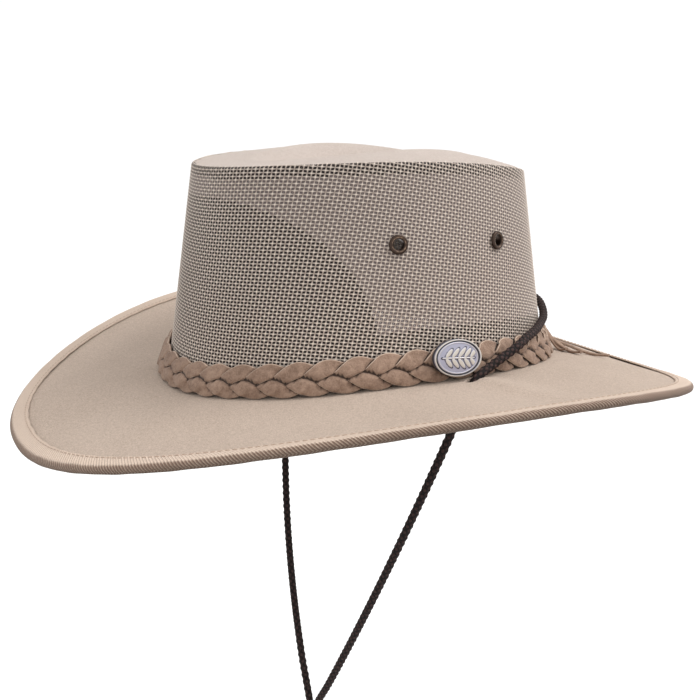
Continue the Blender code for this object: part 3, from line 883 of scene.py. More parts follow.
@dataclass(frozen=True)
class Bronze:
    """Dark bronze, brighter in patches: rubbed metal, and a painted highlight on the crest."""

    name: str
    scuff_scale: float = 700.0
    depth: float = 0.00004

    def make(self) -> bpy.types.Material:
        """Rubbing and painted highlight follow relief and noise."""
        paint = Paint(self.name)
        scuff = paint.noise(paint.place()[0], self.scuff_scale, 3.0)
        wear_and_highlight = paint.relief() * (scuff * 1.2)
        base = paint.blend(wear_and_highlight.ramp(0.35, 0.8), Tone.BRONZE, Tone.BRONZE_WORN)
        return paint.dress(base, scuff * 0.25 + 0.3, scuff, self.depth, Metallic=0.85)


@dataclass(frozen=True)
class BraidedCord:
    """Dark braided cord: painted shade deep between the strands, flecked on top."""

    name: str
    fibre_scale: float = 2200.0
    sheen_scale: float = 400.0
    fibre_pitch: float = 0.0006
    depth: float = 0.00015

    def make(self) -> bpy.types.Material:
        """Tone follows relief, as painted shade between the strands; fibres are noise, and a sine that
        slants along the cord.
        """
        paint = Paint(self.name)
        _, along, across, _ = paint.place("UV")
        place = paint.place()[0]
        fibre = paint.noise(place, self.fibre_scale, 2.0)
        sheen = paint.noise(place, self.sheen_scale, 2.0)
        # Painted shade in the hollows between strands, from the braid's relief.
        body = paint.blend(paint.relief().ramp(0.2, 0.95), Tone.CORD_DARK, Tone.CORD)
        fleck = fibre.ramp(0.52, 0.72) * sheen.ramp(0.35, 0.65) * 0.6
        base = paint.blend(fleck, body, Tone.CORD_FLECK)
        strands = ((along + across * 0.35) * (TURN / self.fibre_pitch)).sine() * 0.3
        return paint.dress(base, 0.8, fibre * 0.6 + strands, self.depth, Specular_IOR_Level=0.25)


@dataclass(frozen=True)
class Thread:
    """Sewing thread."""

    name: str
    twist_scale: float = 3000.0
    depth: float = 0.00008

    def make(self) -> bpy.types.Material:
        """Twist is noise at the thread's own size."""
        paint = Paint(self.name)
        twist = paint.noise(paint.place()[0], self.twist_scale, 2.0)
        base = paint.blend(twist, Tone.THREAD_SHADE, Tone.THREAD)
        return paint.dress(base, 0.8, twist, self.depth)


@dataclass(frozen=True)
class ScuffedBead:
    """Dark bead with a scuffed face."""

    name: str
    scuff_scale: float = 600.0
    depth: float = 0.00006

    def make(self) -> bpy.types.Material:
        """Tone and gloss follow one noise."""
        paint = Paint(self.name)
        scuff = paint.noise(paint.place()[0], self.scuff_scale)
        base = paint.blend(scuff, Tone.CORD_DARK, Tone.CORD)
        return paint.dress(base, scuff * 0.3 + 0.35, scuff, self.depth)


# Studio


@dataclass
class Studio:
    """Camera at the hat's left front, a pale floor that turns up behind, and soft light."""

    lens: float = 47.40
    place: Sequence[float] = (0.4148, -0.2284, 0.1220)
    forward: Sequence[float] = (-0.8530, 0.4580, -0.2502)
    up: Sequence[float] = (-0.2237, 0.1122, 0.9682)
    floor_level: float = -0.36
    floor_reach: float = 6.0
    rise_radius: float = 30.0
    sky: float = 1.12
    ground: float = 0.24

    def make_camera(self) -> None:
        """Sets the camera from its place, its forward axis and its up axis."""
        data = bpy.data.cameras.new("camera")
        data.lens = self.lens
        data.clip_start = 0.01
        camera = bpy.data.objects.new("camera", data)
        bpy.context.scene.collection.objects.link(camera)
        back = -Vector(self.forward).normalized()
        right = Vector(self.up).cross(back).normalized()
        turn = Matrix((right, back.cross(right), back)).transposed().to_4x4()
        camera.matrix_world = Matrix.Translation(self.place) @ turn
        bpy.context.scene.camera = camera

    def make_floor(self) -> None:
        """A floor with a smooth rise at its far side: a quarter circle in section."""
        turn = np.linspace(0.0, math.pi / 2.0, 24)
        curve = self.rise_radius * np.stack([np.sin(turn), 1.0 - np.cos(turn)], -1)
        curve[:, 0] += self.floor_reach
        section = np.vstack([[(-self.floor_reach, 0.0), (0.0, 0.0)], curve])
        ahead = unit(np.array(self.forward[:2]))
        aside = np.array([-ahead[1], ahead[0]])
        width = np.linspace(-self.rise_radius, self.rise_radius, 3)
        plan = section[:, None, :1] * ahead + width[None, :, None] * aside
        height = np.broadcast_to(section[:, None, 1:] + self.floor_level, (*plan.shape[:2], 1))
        paint = Paint("floor")
        shell = Shell("floor")
        shell.grid(np.concatenate([plan, height], -1))
        floor = shell.plain(paint.dress(Tone.FLOOR, 0.9))
        floor.visible_diffuse = False

    def make_light(self) -> None:
        """An even pale sky, a broad light from above and a softer one from the camera's side."""
        world = bpy.data.worlds.new("sky")
        world.use_nodes = True
        nodes, links = world.node_tree.nodes, world.node_tree.links
        background = nodes["Background"]
        background.inputs["Color"].default_value = (1.0, 1.0, 1.0, 1.0)
        place = nodes.new("ShaderNodeTexCoord")
        parts = nodes.new("ShaderNodeSeparateXYZ")
        rise = nodes.new("ShaderNodeMapRange")
        limits = {"From Min": -0.4, "From Max": 0.2, "To Min": self.ground, "To Max": self.sky}
        for key, value in limits.items():
            rise.inputs[key].default_value = value
        links.new(place.outputs["Generated"], parts.inputs[0])
        links.new(parts.outputs["Z"], rise.inputs["Value"])
        links.new(rise.outputs[0], background.inputs["Strength"])
        bpy.context.scene.world = world
        for name, spot, size, power in (
            ("key", (0.45, 0.75, 1.20), 0.8, 15.0),
            ("fill", (1.20, -0.90, 0.60), 1.2, 1.6),
        ):
            data = bpy.data.lights.new(name, "AREA")
            data.size = size
            data.energy = power
            light = bpy.data.objects.new(name, data)
            bpy.context.scene.collection.objects.link(light)
            light.location = spot
            light.rotation_mode = "QUATERNION"
            light.rotation_quaternion = Vector(spot).to_track_quat("Z", "Y")

    def build(self) -> None:
        """Makes the camera, the floor and the light."""
        self.make_camera()
        self.make_floor()
        self.make_light()
        bpy.context.scene.view_settings.view_transform = "Standard"


# Chin cord


@dataclass
class ChinCord:
    """One cord round the crown, through both brim holes and down to a slide and a knot."""

    diameter: float = 0.0041
    split_height: float = -0.0010
    hole_x: float = 0.0954
    strand_spacing: float = 0.0050
    meeting_y: float = -0.0286
    meeting_height: float = -0.2085
    slide_top: float = -0.2150
    slide_size: Sequence[float] = (0.0140, 0.0085, 0.0140)
    slide_clearance: float = 0.0004
    knot_top: float = -0.2520
    knot_drop: float = 0.0052
    knot_size: float = 0.00145
    knot_squeeze: float = 0.86
    knot_sides: int = 16
    gap: float = 0.0003
    strand_points: int = 9
    braid_pitch: float = 0.0038
    braid_strands: int = 4
    braid_depth: float = 0.22
    step: float = 0.00034
    sides: int = 22
    bows: dict[Side, tuple[float, float]] = field(
        default_factory=lambda: {Side.LEFT: (0.0067, -0.0033), Side.RIGHT: (0.0031, -0.0073)}
    )
    # Half of the run round the crown, from the middle of the back to the left brim hole.
    crown_run: Sequence[Sequence[float]] = (
        (0.0000, 0.0985, 0.0255),
        (0.0218, 0.0953, 0.0253),
        (0.0357, 0.0899, 0.0246),
        (0.0448, 0.0847, 0.0232),
        (0.0541, 0.0778, 0.0213),
        (0.0622, 0.0696, 0.0204),
        (0.0720, 0.0588, 0.0202),
        (0.0780, 0.0510, 0.0200),
        (0.0838, 0.0422, 0.0194),
        (0.0876, 0.0359, 0.0181),
        (0.0910, 0.0249, 0.0147),
        (0.0932, 0.0154, 0.0114),
        (0.0950, 0.0097, 0.0096),
        (0.0956, 0.0056, 0.0062),
        (0.0945, 0.0038, 0.0005),
        (0.0925, 0.0022, -0.0055),
    )

    def strand_route(self, side: Side) -> list[Sequence[float]]:
        """Route points of a free strand: a straight run with a parabola's bow, then down to the knot."""
        start = np.array(self.crown_run[-1])
        start[0] *= side.value
        middle_x = side.value * self.strand_spacing / 2.0
        end = np.array([middle_x, self.meeting_y, self.meeting_height])
        bow = np.array([side.value * self.bows[side][0], self.bows[side][1], 0.0])
        shares = np.linspace(0.0, 1.0, self.strand_points)[1:]
        free = [mix(start, end, share) + 4.0 * share * (1.0 - share) * bow for share in shares]
        slide_foot = self.slide_top - self.slide_size[2]
        heights = (
            mix(self.meeting_height, self.slide_top, 0.6),
            mix(self.slide_top, slide_foot, 0.35),
            slide_foot,
            mix(slide_foot, self.knot_top, 0.5),
            self.knot_top + self.gap,
        )
        return [*free, *((middle_x, self.meeting_y, height) for height in heights)]

    def half(self, side: Side) -> np.ndarray:
        """Dense points of one half of the cord, from the middle of the back to the knot."""
        sign = side.value
        run = [(sign * x, y, z) for x, y, z in self.crown_run]
        other = [(-sign * x, y, z) for x, y, z in self.crown_run[1:3]]
        curve = smooth_curve([*other[::-1], *run, *self.strand_route(side)])
        return curve[np.flatnonzero(curve[:, 0] * sign >= -1e-9)[0] :]

    def braid(self, node: str, path: np.ndarray) -> bpy.types.Object:
        """A round braid: two sets of helices, and the surface rises by the product of their cosines.

        Args:
            node: Node that it replaces.
            path: Middle line.

        Returns:
            The piece.
        """
        line = even_points(path, self.step)
        length = running_length(line)
        turn = round_angles(self.sides)
        run = TURN * length[:, None] / self.braid_pitch
        spin = self.braid_strands * turn[None, :]
        weave = np.abs(np.cos((spin + run) / 2.0) * np.cos((spin - run) / 2.0))
        radius = self.diameter / 2.0 * (1.0 + self.braid_depth * (weave - 0.6))
        section = radius[..., None] * circle(turn)
        outward = line * (1.0, 1.0, 0.0)
        around = self.diameter / 2.0 * np.append(turn, TURN)
        shell = Shell(f"{node}_braid")
        shell.grid(
            swept(line, outward, section),
            wrap_columns=True,
            along=length,
            across=around,
            relief=weave,
            caps=True,
        )
        return shell.build(self.material, "cord", node)

    def make_slide(self) -> bpy.types.Object:
        """Bead between the strands' sides: a superellipsoid with two upright bores."""
        tilt = np.linspace(-math.pi / 2.0, math.pi / 2.0, 33)[:, None]
        turn = round_angles(56)[None, :]
        ring = rounded(np.cos(tilt), 0.35)
        half = np.array(self.slide_size) / 2.0
        x = half[0] * ring * rounded(np.cos(turn), 0.6)
        y = half[1] * ring * rounded(np.sin(turn), 0.6)
        z = half[2] * rounded(np.sin(tilt), 0.5)
        middle = np.array([0.0, self.meeting_y, self.slide_top - half[2]])
        shell = Shell("slide_bead")
        points = np.stack(np.broadcast_arrays(x, y, z), -1) + middle
        shell.grid(points[1:-1], wrap_columns=True, caps=True)
        bead = shell.build(ScuffedBead("cord_bead").make(), "cord", "cord_slide")
        bore = self.diameter / 2.0 + self.slide_clearance
        span = (middle[2] - 2.0 * half[2], middle[2] + 2.0 * half[2])
        places = [side.value * self.strand_spacing / 2.0 for side in Side]
        bored(bead, [post(x0, self.meeting_y, (bore, bore), *span) for x0 in places])
        return bead

    def make_knot(self) -> bpy.types.Object:
        """Overhand knot: a flattened trefoil tube that both strands enter, with two short ends."""
        turn = np.linspace(0.0, TURN, 181)
        across = np.sin(turn) + 2.0 * np.sin(2.0 * turn)
        deep = -0.9 * np.sin(3.0 * turn)
        high = 0.8 * (np.cos(turn) - 2.0 * np.cos(2.0 * turn))
        middle = np.array([0.0, self.meeting_y, self.knot_top - self.knot_drop])
        path = np.stack([across, deep, high], -1) * self.knot_size + middle
        sides = self.knot_sides
        ring = self.diameter / 2.0 * self.knot_squeeze * circle(round_angles(sides))
        section = np.broadcast_to(ring, (len(path), sides, 2))
        tube = swept(path, np.cross(np.gradient(path, axis=0), path - middle), section)[:-1]
        shell = Shell("knot_tie")
        shell.grid(tube, wrap_rows=True, wrap_columns=True, relief=np.ones(tube.shape[:2]))
        sway = np.linspace(0.0, 1.0, 14)[:, None]
        for side in Side:
            strand_x = side.value * self.strand_spacing / 2.0
            strand_end = np.array([strand_x, self.meeting_y, self.knot_top + self.gap * 0.8])
            entry = middle + np.array([side.value * 0.0016, 0.0, 0.0010])
            tail_start = middle + np.array([side.value * 0.0014, 0.0, -0.0035])
            tail_end = middle + np.array([side.value * 0.0040, side.value * 0.0012, -0.0125])
            for start, end, size in ((strand_end, entry, 1.12), (tail_start, tail_end, 0.95)):
                line = mix(start, end, sway)
                end_section = section[: len(line)] * size
                tube = swept(line, np.broadcast_to((0.0, 1.0, 0.0), line.shape), end_section)
                shell.grid(tube, wrap_columns=True, relief=np.ones(tube.shape[:2]), caps=True)
        return shell.build(self.material, "cord", "cord_knot")

    def build(self) -> list[bpy.types.Object]:
        self.material = BraidedCord("cord").make()
        slide, knot = self.make_slide(), self.make_knot()
        runs = {}
        made = [slide, knot]
        for side in Side:
            curve = self.half(side)
            low = np.flatnonzero(curve[:, 2] < self.split_height)
            split = low[curve[low, 0] * side.value > self.hole_x * 0.8][0]
            runs[side] = curve[:split]
            free = curve[split - 1 :]
            strand = self.braid(f"chin_cord_{side.name.lower()}", free)
            float(running_length(free)[-1])
            even_points(free, 0.003)
            made.append(strand)
        crown = np.vstack([runs[Side.RIGHT][::-1], runs[Side.LEFT][1:]])
        loop = self.braid("chin_cord_crown", crown)
        float(running_length(crown)[-1])
        even_points(crown, 0.003)
        return [*made, loop]


# Crown


@dataclass
class CrownNet:
    """Open net: threads cross in rows and columns, with one hole between each four crossings."""

    row_pitch: float = 0.001515
    column_pitch: float = 0.00192
    hole_half_width: float = 0.055
    hole_half_height: float = 0.05
    low: float = 0.0078
    fold: float = 0.00065
    fold_turn: float = 2.3
    row_thread: float = 0.00034
    column_thread: float = 0.00028
    crossing: float = 0.00036
    weave: float = 0.00010
    middle_off: float = -0.00055
    # Rows tilt against the crown's edges: amplitudes of sine, twice and four times the angle.
    tilt: Sequence[float] = (0.0164, 0.00026, 0.00063)
    eyelet_keep: float = 0.0034
    eyelet_clear: float = 0.00295
    eyelet_depth: float = 0.003
    hole_corner: float = 0.84
    fell_half_width: float = 0.0032
    # Flat fell's section: place across as a share of its half width, and lift as a share.
    fell_section: Sequence[Sequence[float]] = (
        (-1.0, 0.0),
        (-0.9, 1.0),
        (-0.35, 1.0),
        (-0.28, 0.8),
        (0.28, 0.8),
        (0.35, 1.0),
        (0.9, 1.0),
        (1.0, 0.0),
    )
    fell_foot: float = 0.00035
    fell_lift: float = 0.00045
    fell_back: float = 0.00015

    def drop(self, angle: np.ndarray) -> np.ndarray:
        """How much lower a row runs at an angle: sine, plus cosines of twice and four times it."""
        one, two, four = self.tilt
        return one * np.sin(angle) + two * np.cos(2.0 * angle) + four * np.cos(4.0 * angle)

    def lattice(self) -> tuple[np.ndarray, np.ndarray]:
        """Angles and rises of all crossings on the left half, as rows by columns.

        On a row the rise is a constant less the drop. On a column the arc from the front, less the
        rise above mid height times the rows' slope there, is constant. Each row is solved for the
        columns' angles by interpolation on a fine table.
        """
        angle = np.linspace(-math.pi / 2.0, math.pi / 2.0, 1801)
        middle = FORM.wall(angle, 0.5, 0.0)
        arc = running_length(middle[:, :2])
        slope = np.gradient(self.drop(angle), angle) / np.gradient(arc, angle)
        half_rise = 0.5 * FORM.slant(angle)
        highest = float(np.max(FORM.slant(angle) + self.drop(angle))) + 2.0 * self.row_pitch
        lowest = float(np.min(self.drop(angle)))
        rows = np.arange(lowest, highest, self.row_pitch)
        columns = np.arange(0.0, arc[-1] / self.column_pitch + 8.0) * self.column_pitch
        angles = []
        for row in rows:
            rise = row - self.drop(angle)
            column = arc - (rise - half_rise) * slope
            past = (columns - column[-1]) / (arc[-1] - arc[-2]) * (angle[-1] - angle[-2])
            found = np.interp(columns, column, angle)
            angles.append(np.where(past > 0.0, angle[-1] + past, found))
        angles = np.array(angles)
        return angles, rows[:, None] - self.drop(angles)

    def surface(self, angle: np.ndarray, rise: np.ndarray, height: Any) -> np.ndarray:
        """Point of the net, which folds inwards over its top edge in an arc of a circle.

        Args:
            angle: Angle round the crown.
            rise: Distance up the slope.
            height: Distance outside the net's middle surface.

        Returns:
            Points with a last axis of 3.
        """
        slant = FORM.slant(angle)
        over = np.clip((rise - slant + self.fold) / self.fold, 0.0, self.fold_turn)
        up = np.minimum(rise, slant - self.fold) + (self.fold + height) * np.sin(over)
        off = self.middle_off - self.fold * (1.0 - np.cos(over)) + height * np.cos(over)
        return FORM.wall(angle, up / slant, off)

    def cells(self) -> tuple[np.ndarray, ...]:
        """Splits the lattice into its kept cells and works out the points of each.

        Returns:
            Front points, back points, ring points, relief of front points, and for each kept cell
            the numbers of its eight border points, its column and what lies behind it, which sets the
            painted shade on its hole flanks.
        """
        angles, rises = self.lattice()
        top = FORM.slant(angles) - self.fold + self.fold * self.fold_turn
        rise = np.clip(rises, self.low, top)
        angle = np.minimum(angles, math.pi / 2.0)
        rows, columns = angle.shape
        centre_rise = (rises[:-1, :-1] + rises[1:, 1:]) / 2.0
        centre_angle = (angles[:-1, :-1] + angles[1:, 1:]) / 2.0
        ceiling = FORM.slant(centre_angle) - self.fold + self.fold * self.fold_turn
        keep = (centre_rise > self.low) & (centre_rise < ceiling)
        keep &= centre_angle < math.pi / 2.0
        middle = self.surface(centre_angle, np.clip(centre_rise, self.low, ceiling), 0.0)
        for eyelet in EYELETS[:2]:
            away = np.linalg.norm(middle - eyelet.centre(), axis=-1)
            keep &= away > self.eyelet_keep
        checker = (-1.0) ** (np.arange(rows)[:, None] + np.arange(columns)[None, :])

        def halfway(values: np.ndarray, axis: int) -> np.ndarray:
            """Mean of neighbours along an axis."""
            ahead = np.take(values, range(1, values.shape[axis]), axis)
            return (np.take(values, range(values.shape[axis] - 1), axis) + ahead) / 2.0

        parts = [
            (angle, rise, self.crossing + self.weave * checker),
            (halfway(angle, 1), halfway(rise, 1), self.row_thread),
            (halfway(angle, 0), halfway(rise, 0), self.column_thread),
        ]
        front = np.vstack([self.surface(a, r, h).reshape(-1, 3) for a, r, h in parts])
        flipped = [(a, r, -(h if np.isscalar(h) else 2.0 * self.crossing - h)) for a, r, h in parts]
        back = np.vstack([self.surface(a, r, h).reshape(-1, 3) for a, r, h in flipped])
        heights = [np.broadcast_to(h, a.shape).ravel() for a, _, h in parts]
        relief = 0.45 + 0.55 * (np.concatenate(heights) - self.column_thread) / (2.0 * self.weave)
        i, j = np.nonzero(keep)
        node = i * columns + j
        across = rows * columns + i * (columns - 1) + j
        upright = rows * columns + rows * (columns - 1) + i * columns + j
        low_side = [node, across, node + 1, upright + 1]
        high_side = [node + columns + 1, across + columns - 1, node + columns, upright]
        border = np.stack([*low_side, *high_side], -1)
        corner = self.hole_corner
        aside = np.array([-corner, 0.0, corner, 1.0, corner, 0.0, -corner, -1.0])
        u = 0.5 + self.hole_half_width * aside
        v = 0.5 + self.hole_half_height * np.roll(aside, 2)

        def inside(values: np.ndarray) -> np.ndarray:
            """Values at the hole's points, between those of the cell's corners."""
            low = mix(values[i, j][:, None], values[i, j + 1][:, None], u)
            high = mix(values[i + 1, j][:, None], values[i + 1, j + 1][:, None], u)
            return mix(low, high, v)

        ring = self.surface(inside(angle), inside(rise), 0.0)
        backing_shade = self.backing_shade(centre_angle[i, j], centre_rise[i, j])
        return front, back, ring, relief, border, j, backing_shade

    def backing_shade(self, angle: np.ndarray, rise: np.ndarray) -> np.ndarray:
        """What lies close behind the net, 0 where black cloth does and 1 where the open crown does, for
        painted shade on the hole flanks.
        """
        share = rise / FORM.slant(angle)
        turn = np.abs(angle + math.pi / 2.0) / LININGS.panel_half_angle
        roof = np.clip(1.0 - turn**LININGS.panel_roundness, 0.0, 1.0)
        behind_panel = share < LININGS.panel_top_share * roof ** (1.0 / LININGS.panel_roundness)
        behind_band = rise < LININGS.sweatband_rise
        behind_tape = rise > FORM.slant(angle) - TIP.skirt
        return 1.0 - (behind_panel | behind_band | behind_tape)

    def clear_eyelets(self, points: np.ndarray) -> np.ndarray:
        """Pushes points out of the eyelets' barrels, straight away from each one's axis."""
        for eyelet in EYELETS[:2]:
            turn = eyelet.frame()
            local = (points - turn[:3, 3]) @ turn[:3, :3]
            away = np.hypot(local[..., 0], local[..., 1])
            near = (away < self.eyelet_clear) & (np.abs(local[..., 2]) < self.eyelet_depth)
            grow = np.where(near, self.eyelet_clear / np.maximum(away, 1e-6), 1.0)
            local[..., :2] *= grow[..., None]
            points = local @ turn[:3, :3].T + turn[:3, 3]
        return points

    def build(self) -> list[bpy.types.Object]:
        """Makes the net in four parts: left and right, front and back."""
        front, back, ring, relief, border, column, backing_shade = self.cells()
        front, back, ring = (self.clear_eyelets(part) for part in (front, back, ring))
        material = CoatedNet("net").make()
        split = np.median(column)
        pieces = []
        for where, chosen in (("front", column <= split), ("back", column > split)):
            marks, numbers = np.unique(border[chosen], return_inverse=True)
            numbers = numbers.reshape(-1, 8)
            hole = ring[chosen].reshape(-1, 3)
            count, cells = len(marks), len(numbers)
            holes = 2 * count + np.arange(cells * 8).reshape(-1, 8)
            ahead, hole_ahead = np.roll(numbers, -1, 1), np.roll(holes, -1, 1)
            outer = np.stack([numbers, ahead, hole_ahead, holes], -1).reshape(-1, 4)
            inner = np.stack([ahead + count, numbers + count, holes, hole_ahead], -1).reshape(-1, 4)
            edges = np.stack([numbers, ahead], -1).reshape(-1, 2)
            keys = np.sort(edges, -1) @ np.array([count, 1])
            _, place, seen = np.unique(keys, return_index=True, return_counts=True)
            rim = edges[place[seen == 1]]
            walls = np.stack([rim[:, 1], rim[:, 0], rim[:, 0] + count, rim[:, 1] + count], -1)
            points = np.vstack([front[marks], back[marks], hole])
            tops = np.concatenate([relief[marks], relief[marks], np.full(cells * 8, -1.0)])
            # Across carries what lies behind each cell, for the painted shade on its hole flanks.
            shade = np.repeat(backing_shade[chosen], 8)
            shade = np.concatenate([shade, shade, np.ones(len(walls))])[:, None]
            shade = np.stack(np.broadcast_arrays(0.0, shade * np.ones(4)), -1)
            for side in Side:
                shell = Shell(f"crown_net_{side.name.lower()}_{where}")
                faces = np.vstack([outer, inner, walls])
                shell.add(points * (side.value, 1.0, 1.0), faces, shade, tops)
                pieces.append(shell.build(material, "mesh", "crown_net", sharp=75.0))
        pieces.append(self.make_back_seam(material))
        return pieces

    def make_back_seam(self, material: bpy.types.Material) -> bpy.types.Object:
        """Flat fell over the joint at the back: a thin strip up the wall."""
        rise = np.linspace(self.low, float(FORM.slant(np.array(math.pi / 2.0))) - self.fold, 60)
        half = self.fell_half_width / FORM.foot_half_width
        sides, lift = np.array(self.fell_section).T
        angle = math.pi / 2.0 + half * np.concatenate([sides, sides[::-1]])
        back = np.full(len(lift), self.fell_back)
        height = np.concatenate([self.fell_foot + self.fell_lift * lift, back])
        angles, rises = np.meshgrid(angle, rise)
        heights = np.broadcast_to(height, angles.shape)
        shell = Shell("crown_net_fell")
        shell.grid(self.surface(angles, rises, heights), wrap_columns=True, caps=True)
        return shell.build(material, "mesh", "crown_net")


@dataclass(frozen=True)
class Eyelet:
    """Rolled metal ring through the net."""

    name: str
    degrees: float
    share: float = 0.635
    hole: float = 0.0024
    barrel: float = 0.0005
    radius: float = 0.0043
    face: float = 0.0009
    stand: float = 0.00055

    def frame(self) -> np.ndarray:
        """Place on the wall."""
        return FORM.wall_frame(math.radians(self.degrees), self.share, 0.0)

    def centre(self) -> np.ndarray:
        """Middle of the ring."""
        return self.frame()[:3, 3]

    def profile(self) -> np.ndarray:
        """Half section, radius and height: a round outer roll, the barrel, and a flat washer."""
        turn = np.linspace(0.0, math.pi, 13)
        middle = (self.hole + self.radius) / 2.0
        roll = np.stack(
            [
                middle - (self.radius - self.hole) / 2.0 * np.cos(turn),
                self.stand + self.face * np.sin(turn) ** 0.8,
            ],
            -1,
        )
        out = self.hole + self.barrel
        back = -(FORM.net_wall + self.stand)
        wide = self.radius * 0.92
        washer = [
            (self.radius, self.stand * 0.6),
            (out, self.stand * 0.6),
            (out, back),
            (wide, back),
            (wide, back - self.barrel * 0.6),
            (wide - 0.0003, back - self.barrel),
            (self.hole + 0.0002, back - self.barrel),
            (self.hole, back - self.barrel * 0.6),
        ]
        return np.vstack([roll, washer])

    def build(self, material: bpy.types.Material) -> bpy.types.Object:
        """Turns the profile about the ring's axis."""
        profile = self.profile()
        turn = round_angles(48)
        radius, height = profile[None, :, 0], profile[None, :, 1]
        x = radius * np.cos(turn)[:, None]
        y = radius * np.sin(turn)[:, None]
        local = np.stack([x, y, np.broadcast_to(height, x.shape)], -1)
        place = self.frame()
        points = local @ place[:3, :3].T + place[:3, 3]
        crest = np.clip((height - self.stand) / self.face, 0.0, 1.0)
        # A pale ring on the crest by the hole: painted highlight.
        edge_highlight = crest * np.exp(-(((radius - self.hole - 0.0007) / 0.0004) ** 2)) + 0.0 * x
        shell = Shell(f"{self.name}_ring")
        shell.grid(points, wrap_rows=True, wrap_columns=True, relief=edge_highlight)
        return shell.build(material, "bronze", self.name, sharp=60.0)


EYELETS = (
    Eyelet("eyelet_left_front", -14.5),
    Eyelet("eyelet_left_back", 20.0),
    Eyelet("eyelet_right_front", 194.5),
    Eyelet("eyelet_right_back", 160.0),
)


@dataclass
class CrownTip:
    """Top of the crown: a dark seam tape behind the net, which also stands for painted shade under the
    seam, a puffed edge, a ridge and a long dent.
    """

    wall: float = 0.0014
    skirt: float = 0.0050
    ridge_inset: float = 0.0260
    ridge_rise: float = 0.0029
    ridge_back_rise: float = 0.0042
    ridge_saddle: float = -0.0009
    ridge_least: float = 0.0012
    dent_depth: float = 0.0300
    dent_shift_back: float = 0.0200
    pinch: float = 0.0007
    pucker: float = 0.00022
    wrinkle: float = 0.00045
    steps: int = 200
    edge_rows: int = 18
    dent_rows: int = 44

    def face(self, angle: np.ndarray, row: np.ndarray) -> np.ndarray:
        """Outer face over an angle and a row.

        Rows 0 to 1 cross the soft edge: inwards by x, which is the row^1.8, and up by
        1 - (1 - x)^1.7. Rows 1 to
        2 cross the dent, a cosine's fall whose rings shrink and move back towards the middle. The
        ridge between falls towards the front, but no lower than a least rise. It is pinched up, the
        seam puckers and the dent has soft wrinkles, all as sums of sines.

        Args:
            angle: Angle round the crown.
            row: 0 at the seam, 1 at the ridge, 2 at the middle.

        Returns:
            Points with a last axis of 3.
        """
        off = FORM.layer(0)
        half_width = FORM.top_half_width + off
        half_length = FORM.top_half_length + off
        seam = FORM.seam(angle)
        back = self.ridge_back_rise * np.sin(angle)
        over = self.ridge_rise + back - self.ridge_saddle * np.cos(2.0 * angle) - self.ridge_least
        rise = self.ridge_least + (over + np.hypot(over, self.ridge_least)) / 2.0
        x = np.clip(row, 0.0, 1.0) ** 1.8
        share = np.clip(2.0 - row, 0.0, 1.0)
        inset = self.ridge_inset * x
        edge_height = seam + rise * (1.0 - (1.0 - x) ** 1.7)
        mean = FORM.seam_level + self.ridge_rise
        level = mix(mean, seam + rise, share)
        fall = self.dent_depth * (0.5 + 0.5 * np.cos(math.pi * share))
        height = np.where(row <= 1.0, edge_height, level - fall)
        shrink = np.where(row <= 1.0, 1.0, share)
        width = np.where(row <= 1.0, half_width - inset, (half_width - self.ridge_inset) * shrink)
        length = np.where(row <= 1.0, half_length - inset, (half_length - self.ridge_inset) * shrink)
        px = width * np.cos(angle)
        py = length * np.sin(angle) + self.dent_shift_back * (1.0 - shrink)
        crease = self.pinch * np.exp(-(((row - 1.0) / 0.06) ** 2))
        waves = np.sin(3.0 * angle + 60.0 * px) + np.sin(5.0 * angle - 75.0 * py + 1.0)
        soft = self.wrinkle * 0.5 * waves * smooth(1.02, 1.25, row) * smooth(2.0, 1.7, row)
        gathers = np.sin(61.0 * angle) + 0.6 * np.sin(97.0 * angle + 1.3)
        seam_pucker = self.pucker * gathers * np.exp(-(((row - 0.28) / 0.22) ** 2))
        return np.stack([px, py, height + crease + soft + seam_pucker], -1)

    def build(self) -> list[bpy.types.Object]:
        """Makes the canvas tip and the tape that hangs behind the net's top edge."""
        angle = round_angles(self.steps)
        rows = np.concatenate(
            [np.linspace(0.0, 1.0, self.edge_rows), np.linspace(1.0, 1.985, self.dent_rows)[1:]]
        )
        angles, levels = np.meshgrid(angle, rows)
        outer = self.face(angles, levels)
        across = np.gradient(outer, axis=1)
        across[:, 0] = outer[:, 1] - outer[:, -1]
        across[:, -1] = outer[:, 0] - outer[:, -2]
        outward = unit(np.cross(across, np.gradient(outer, axis=0)))
        outward *= np.sign(outward[-1, :, 2].mean())
        inner = outer - outward * self.wall
        shell = Shell("crown_tip_canvas")
        shell.grid(np.vstack([inner[::-1], outer]), wrap_columns=True, caps=True)
        finish = Canvas("tip_canvas", Tone.TIP, Tone.TIP_SHADE)
        tip = shell.build(finish.make(), "canvas", "crown_tip")
        return [tip, self.make_tape()]

    def make_tape(self) -> bpy.types.Object:
        """Black tape behind the net, dark also as painted shade under the seam: a ring from the seam
        down.
        """
        angle = round_angles(180)[:, None]
        off = FORM.layer(0)
        low = 1.0 - self.skirt / FORM.wall_height(angle)
        shares = np.concatenate([mix(1.0, low, k) for k in (0.0, 0.5, 1.0, 1.0, 0.5, 0.0)], 1)
        offs = off - np.array([0.0, 0.0, 0.0001, 0.8, 1.0, 1.0]) * 0.0010
        points = FORM.wall(angle, shares, offs)
        shell = Shell("crown_tip_tape")
        along = closed_length(points[:, 0])
        shell.grid(
            points,
            wrap_rows=True,
            wrap_columns=True,
            along=along,
            across=np.array([0.0, 2.5, 5.0, 6.0, 8.5, 11.0, 12.0]) * MM,
        )
        # Its black face is a seam tape and also painted shade under the seam.
        return shell.build(LiningCloth("seam_tape").make(), "lining", "crown_tip")


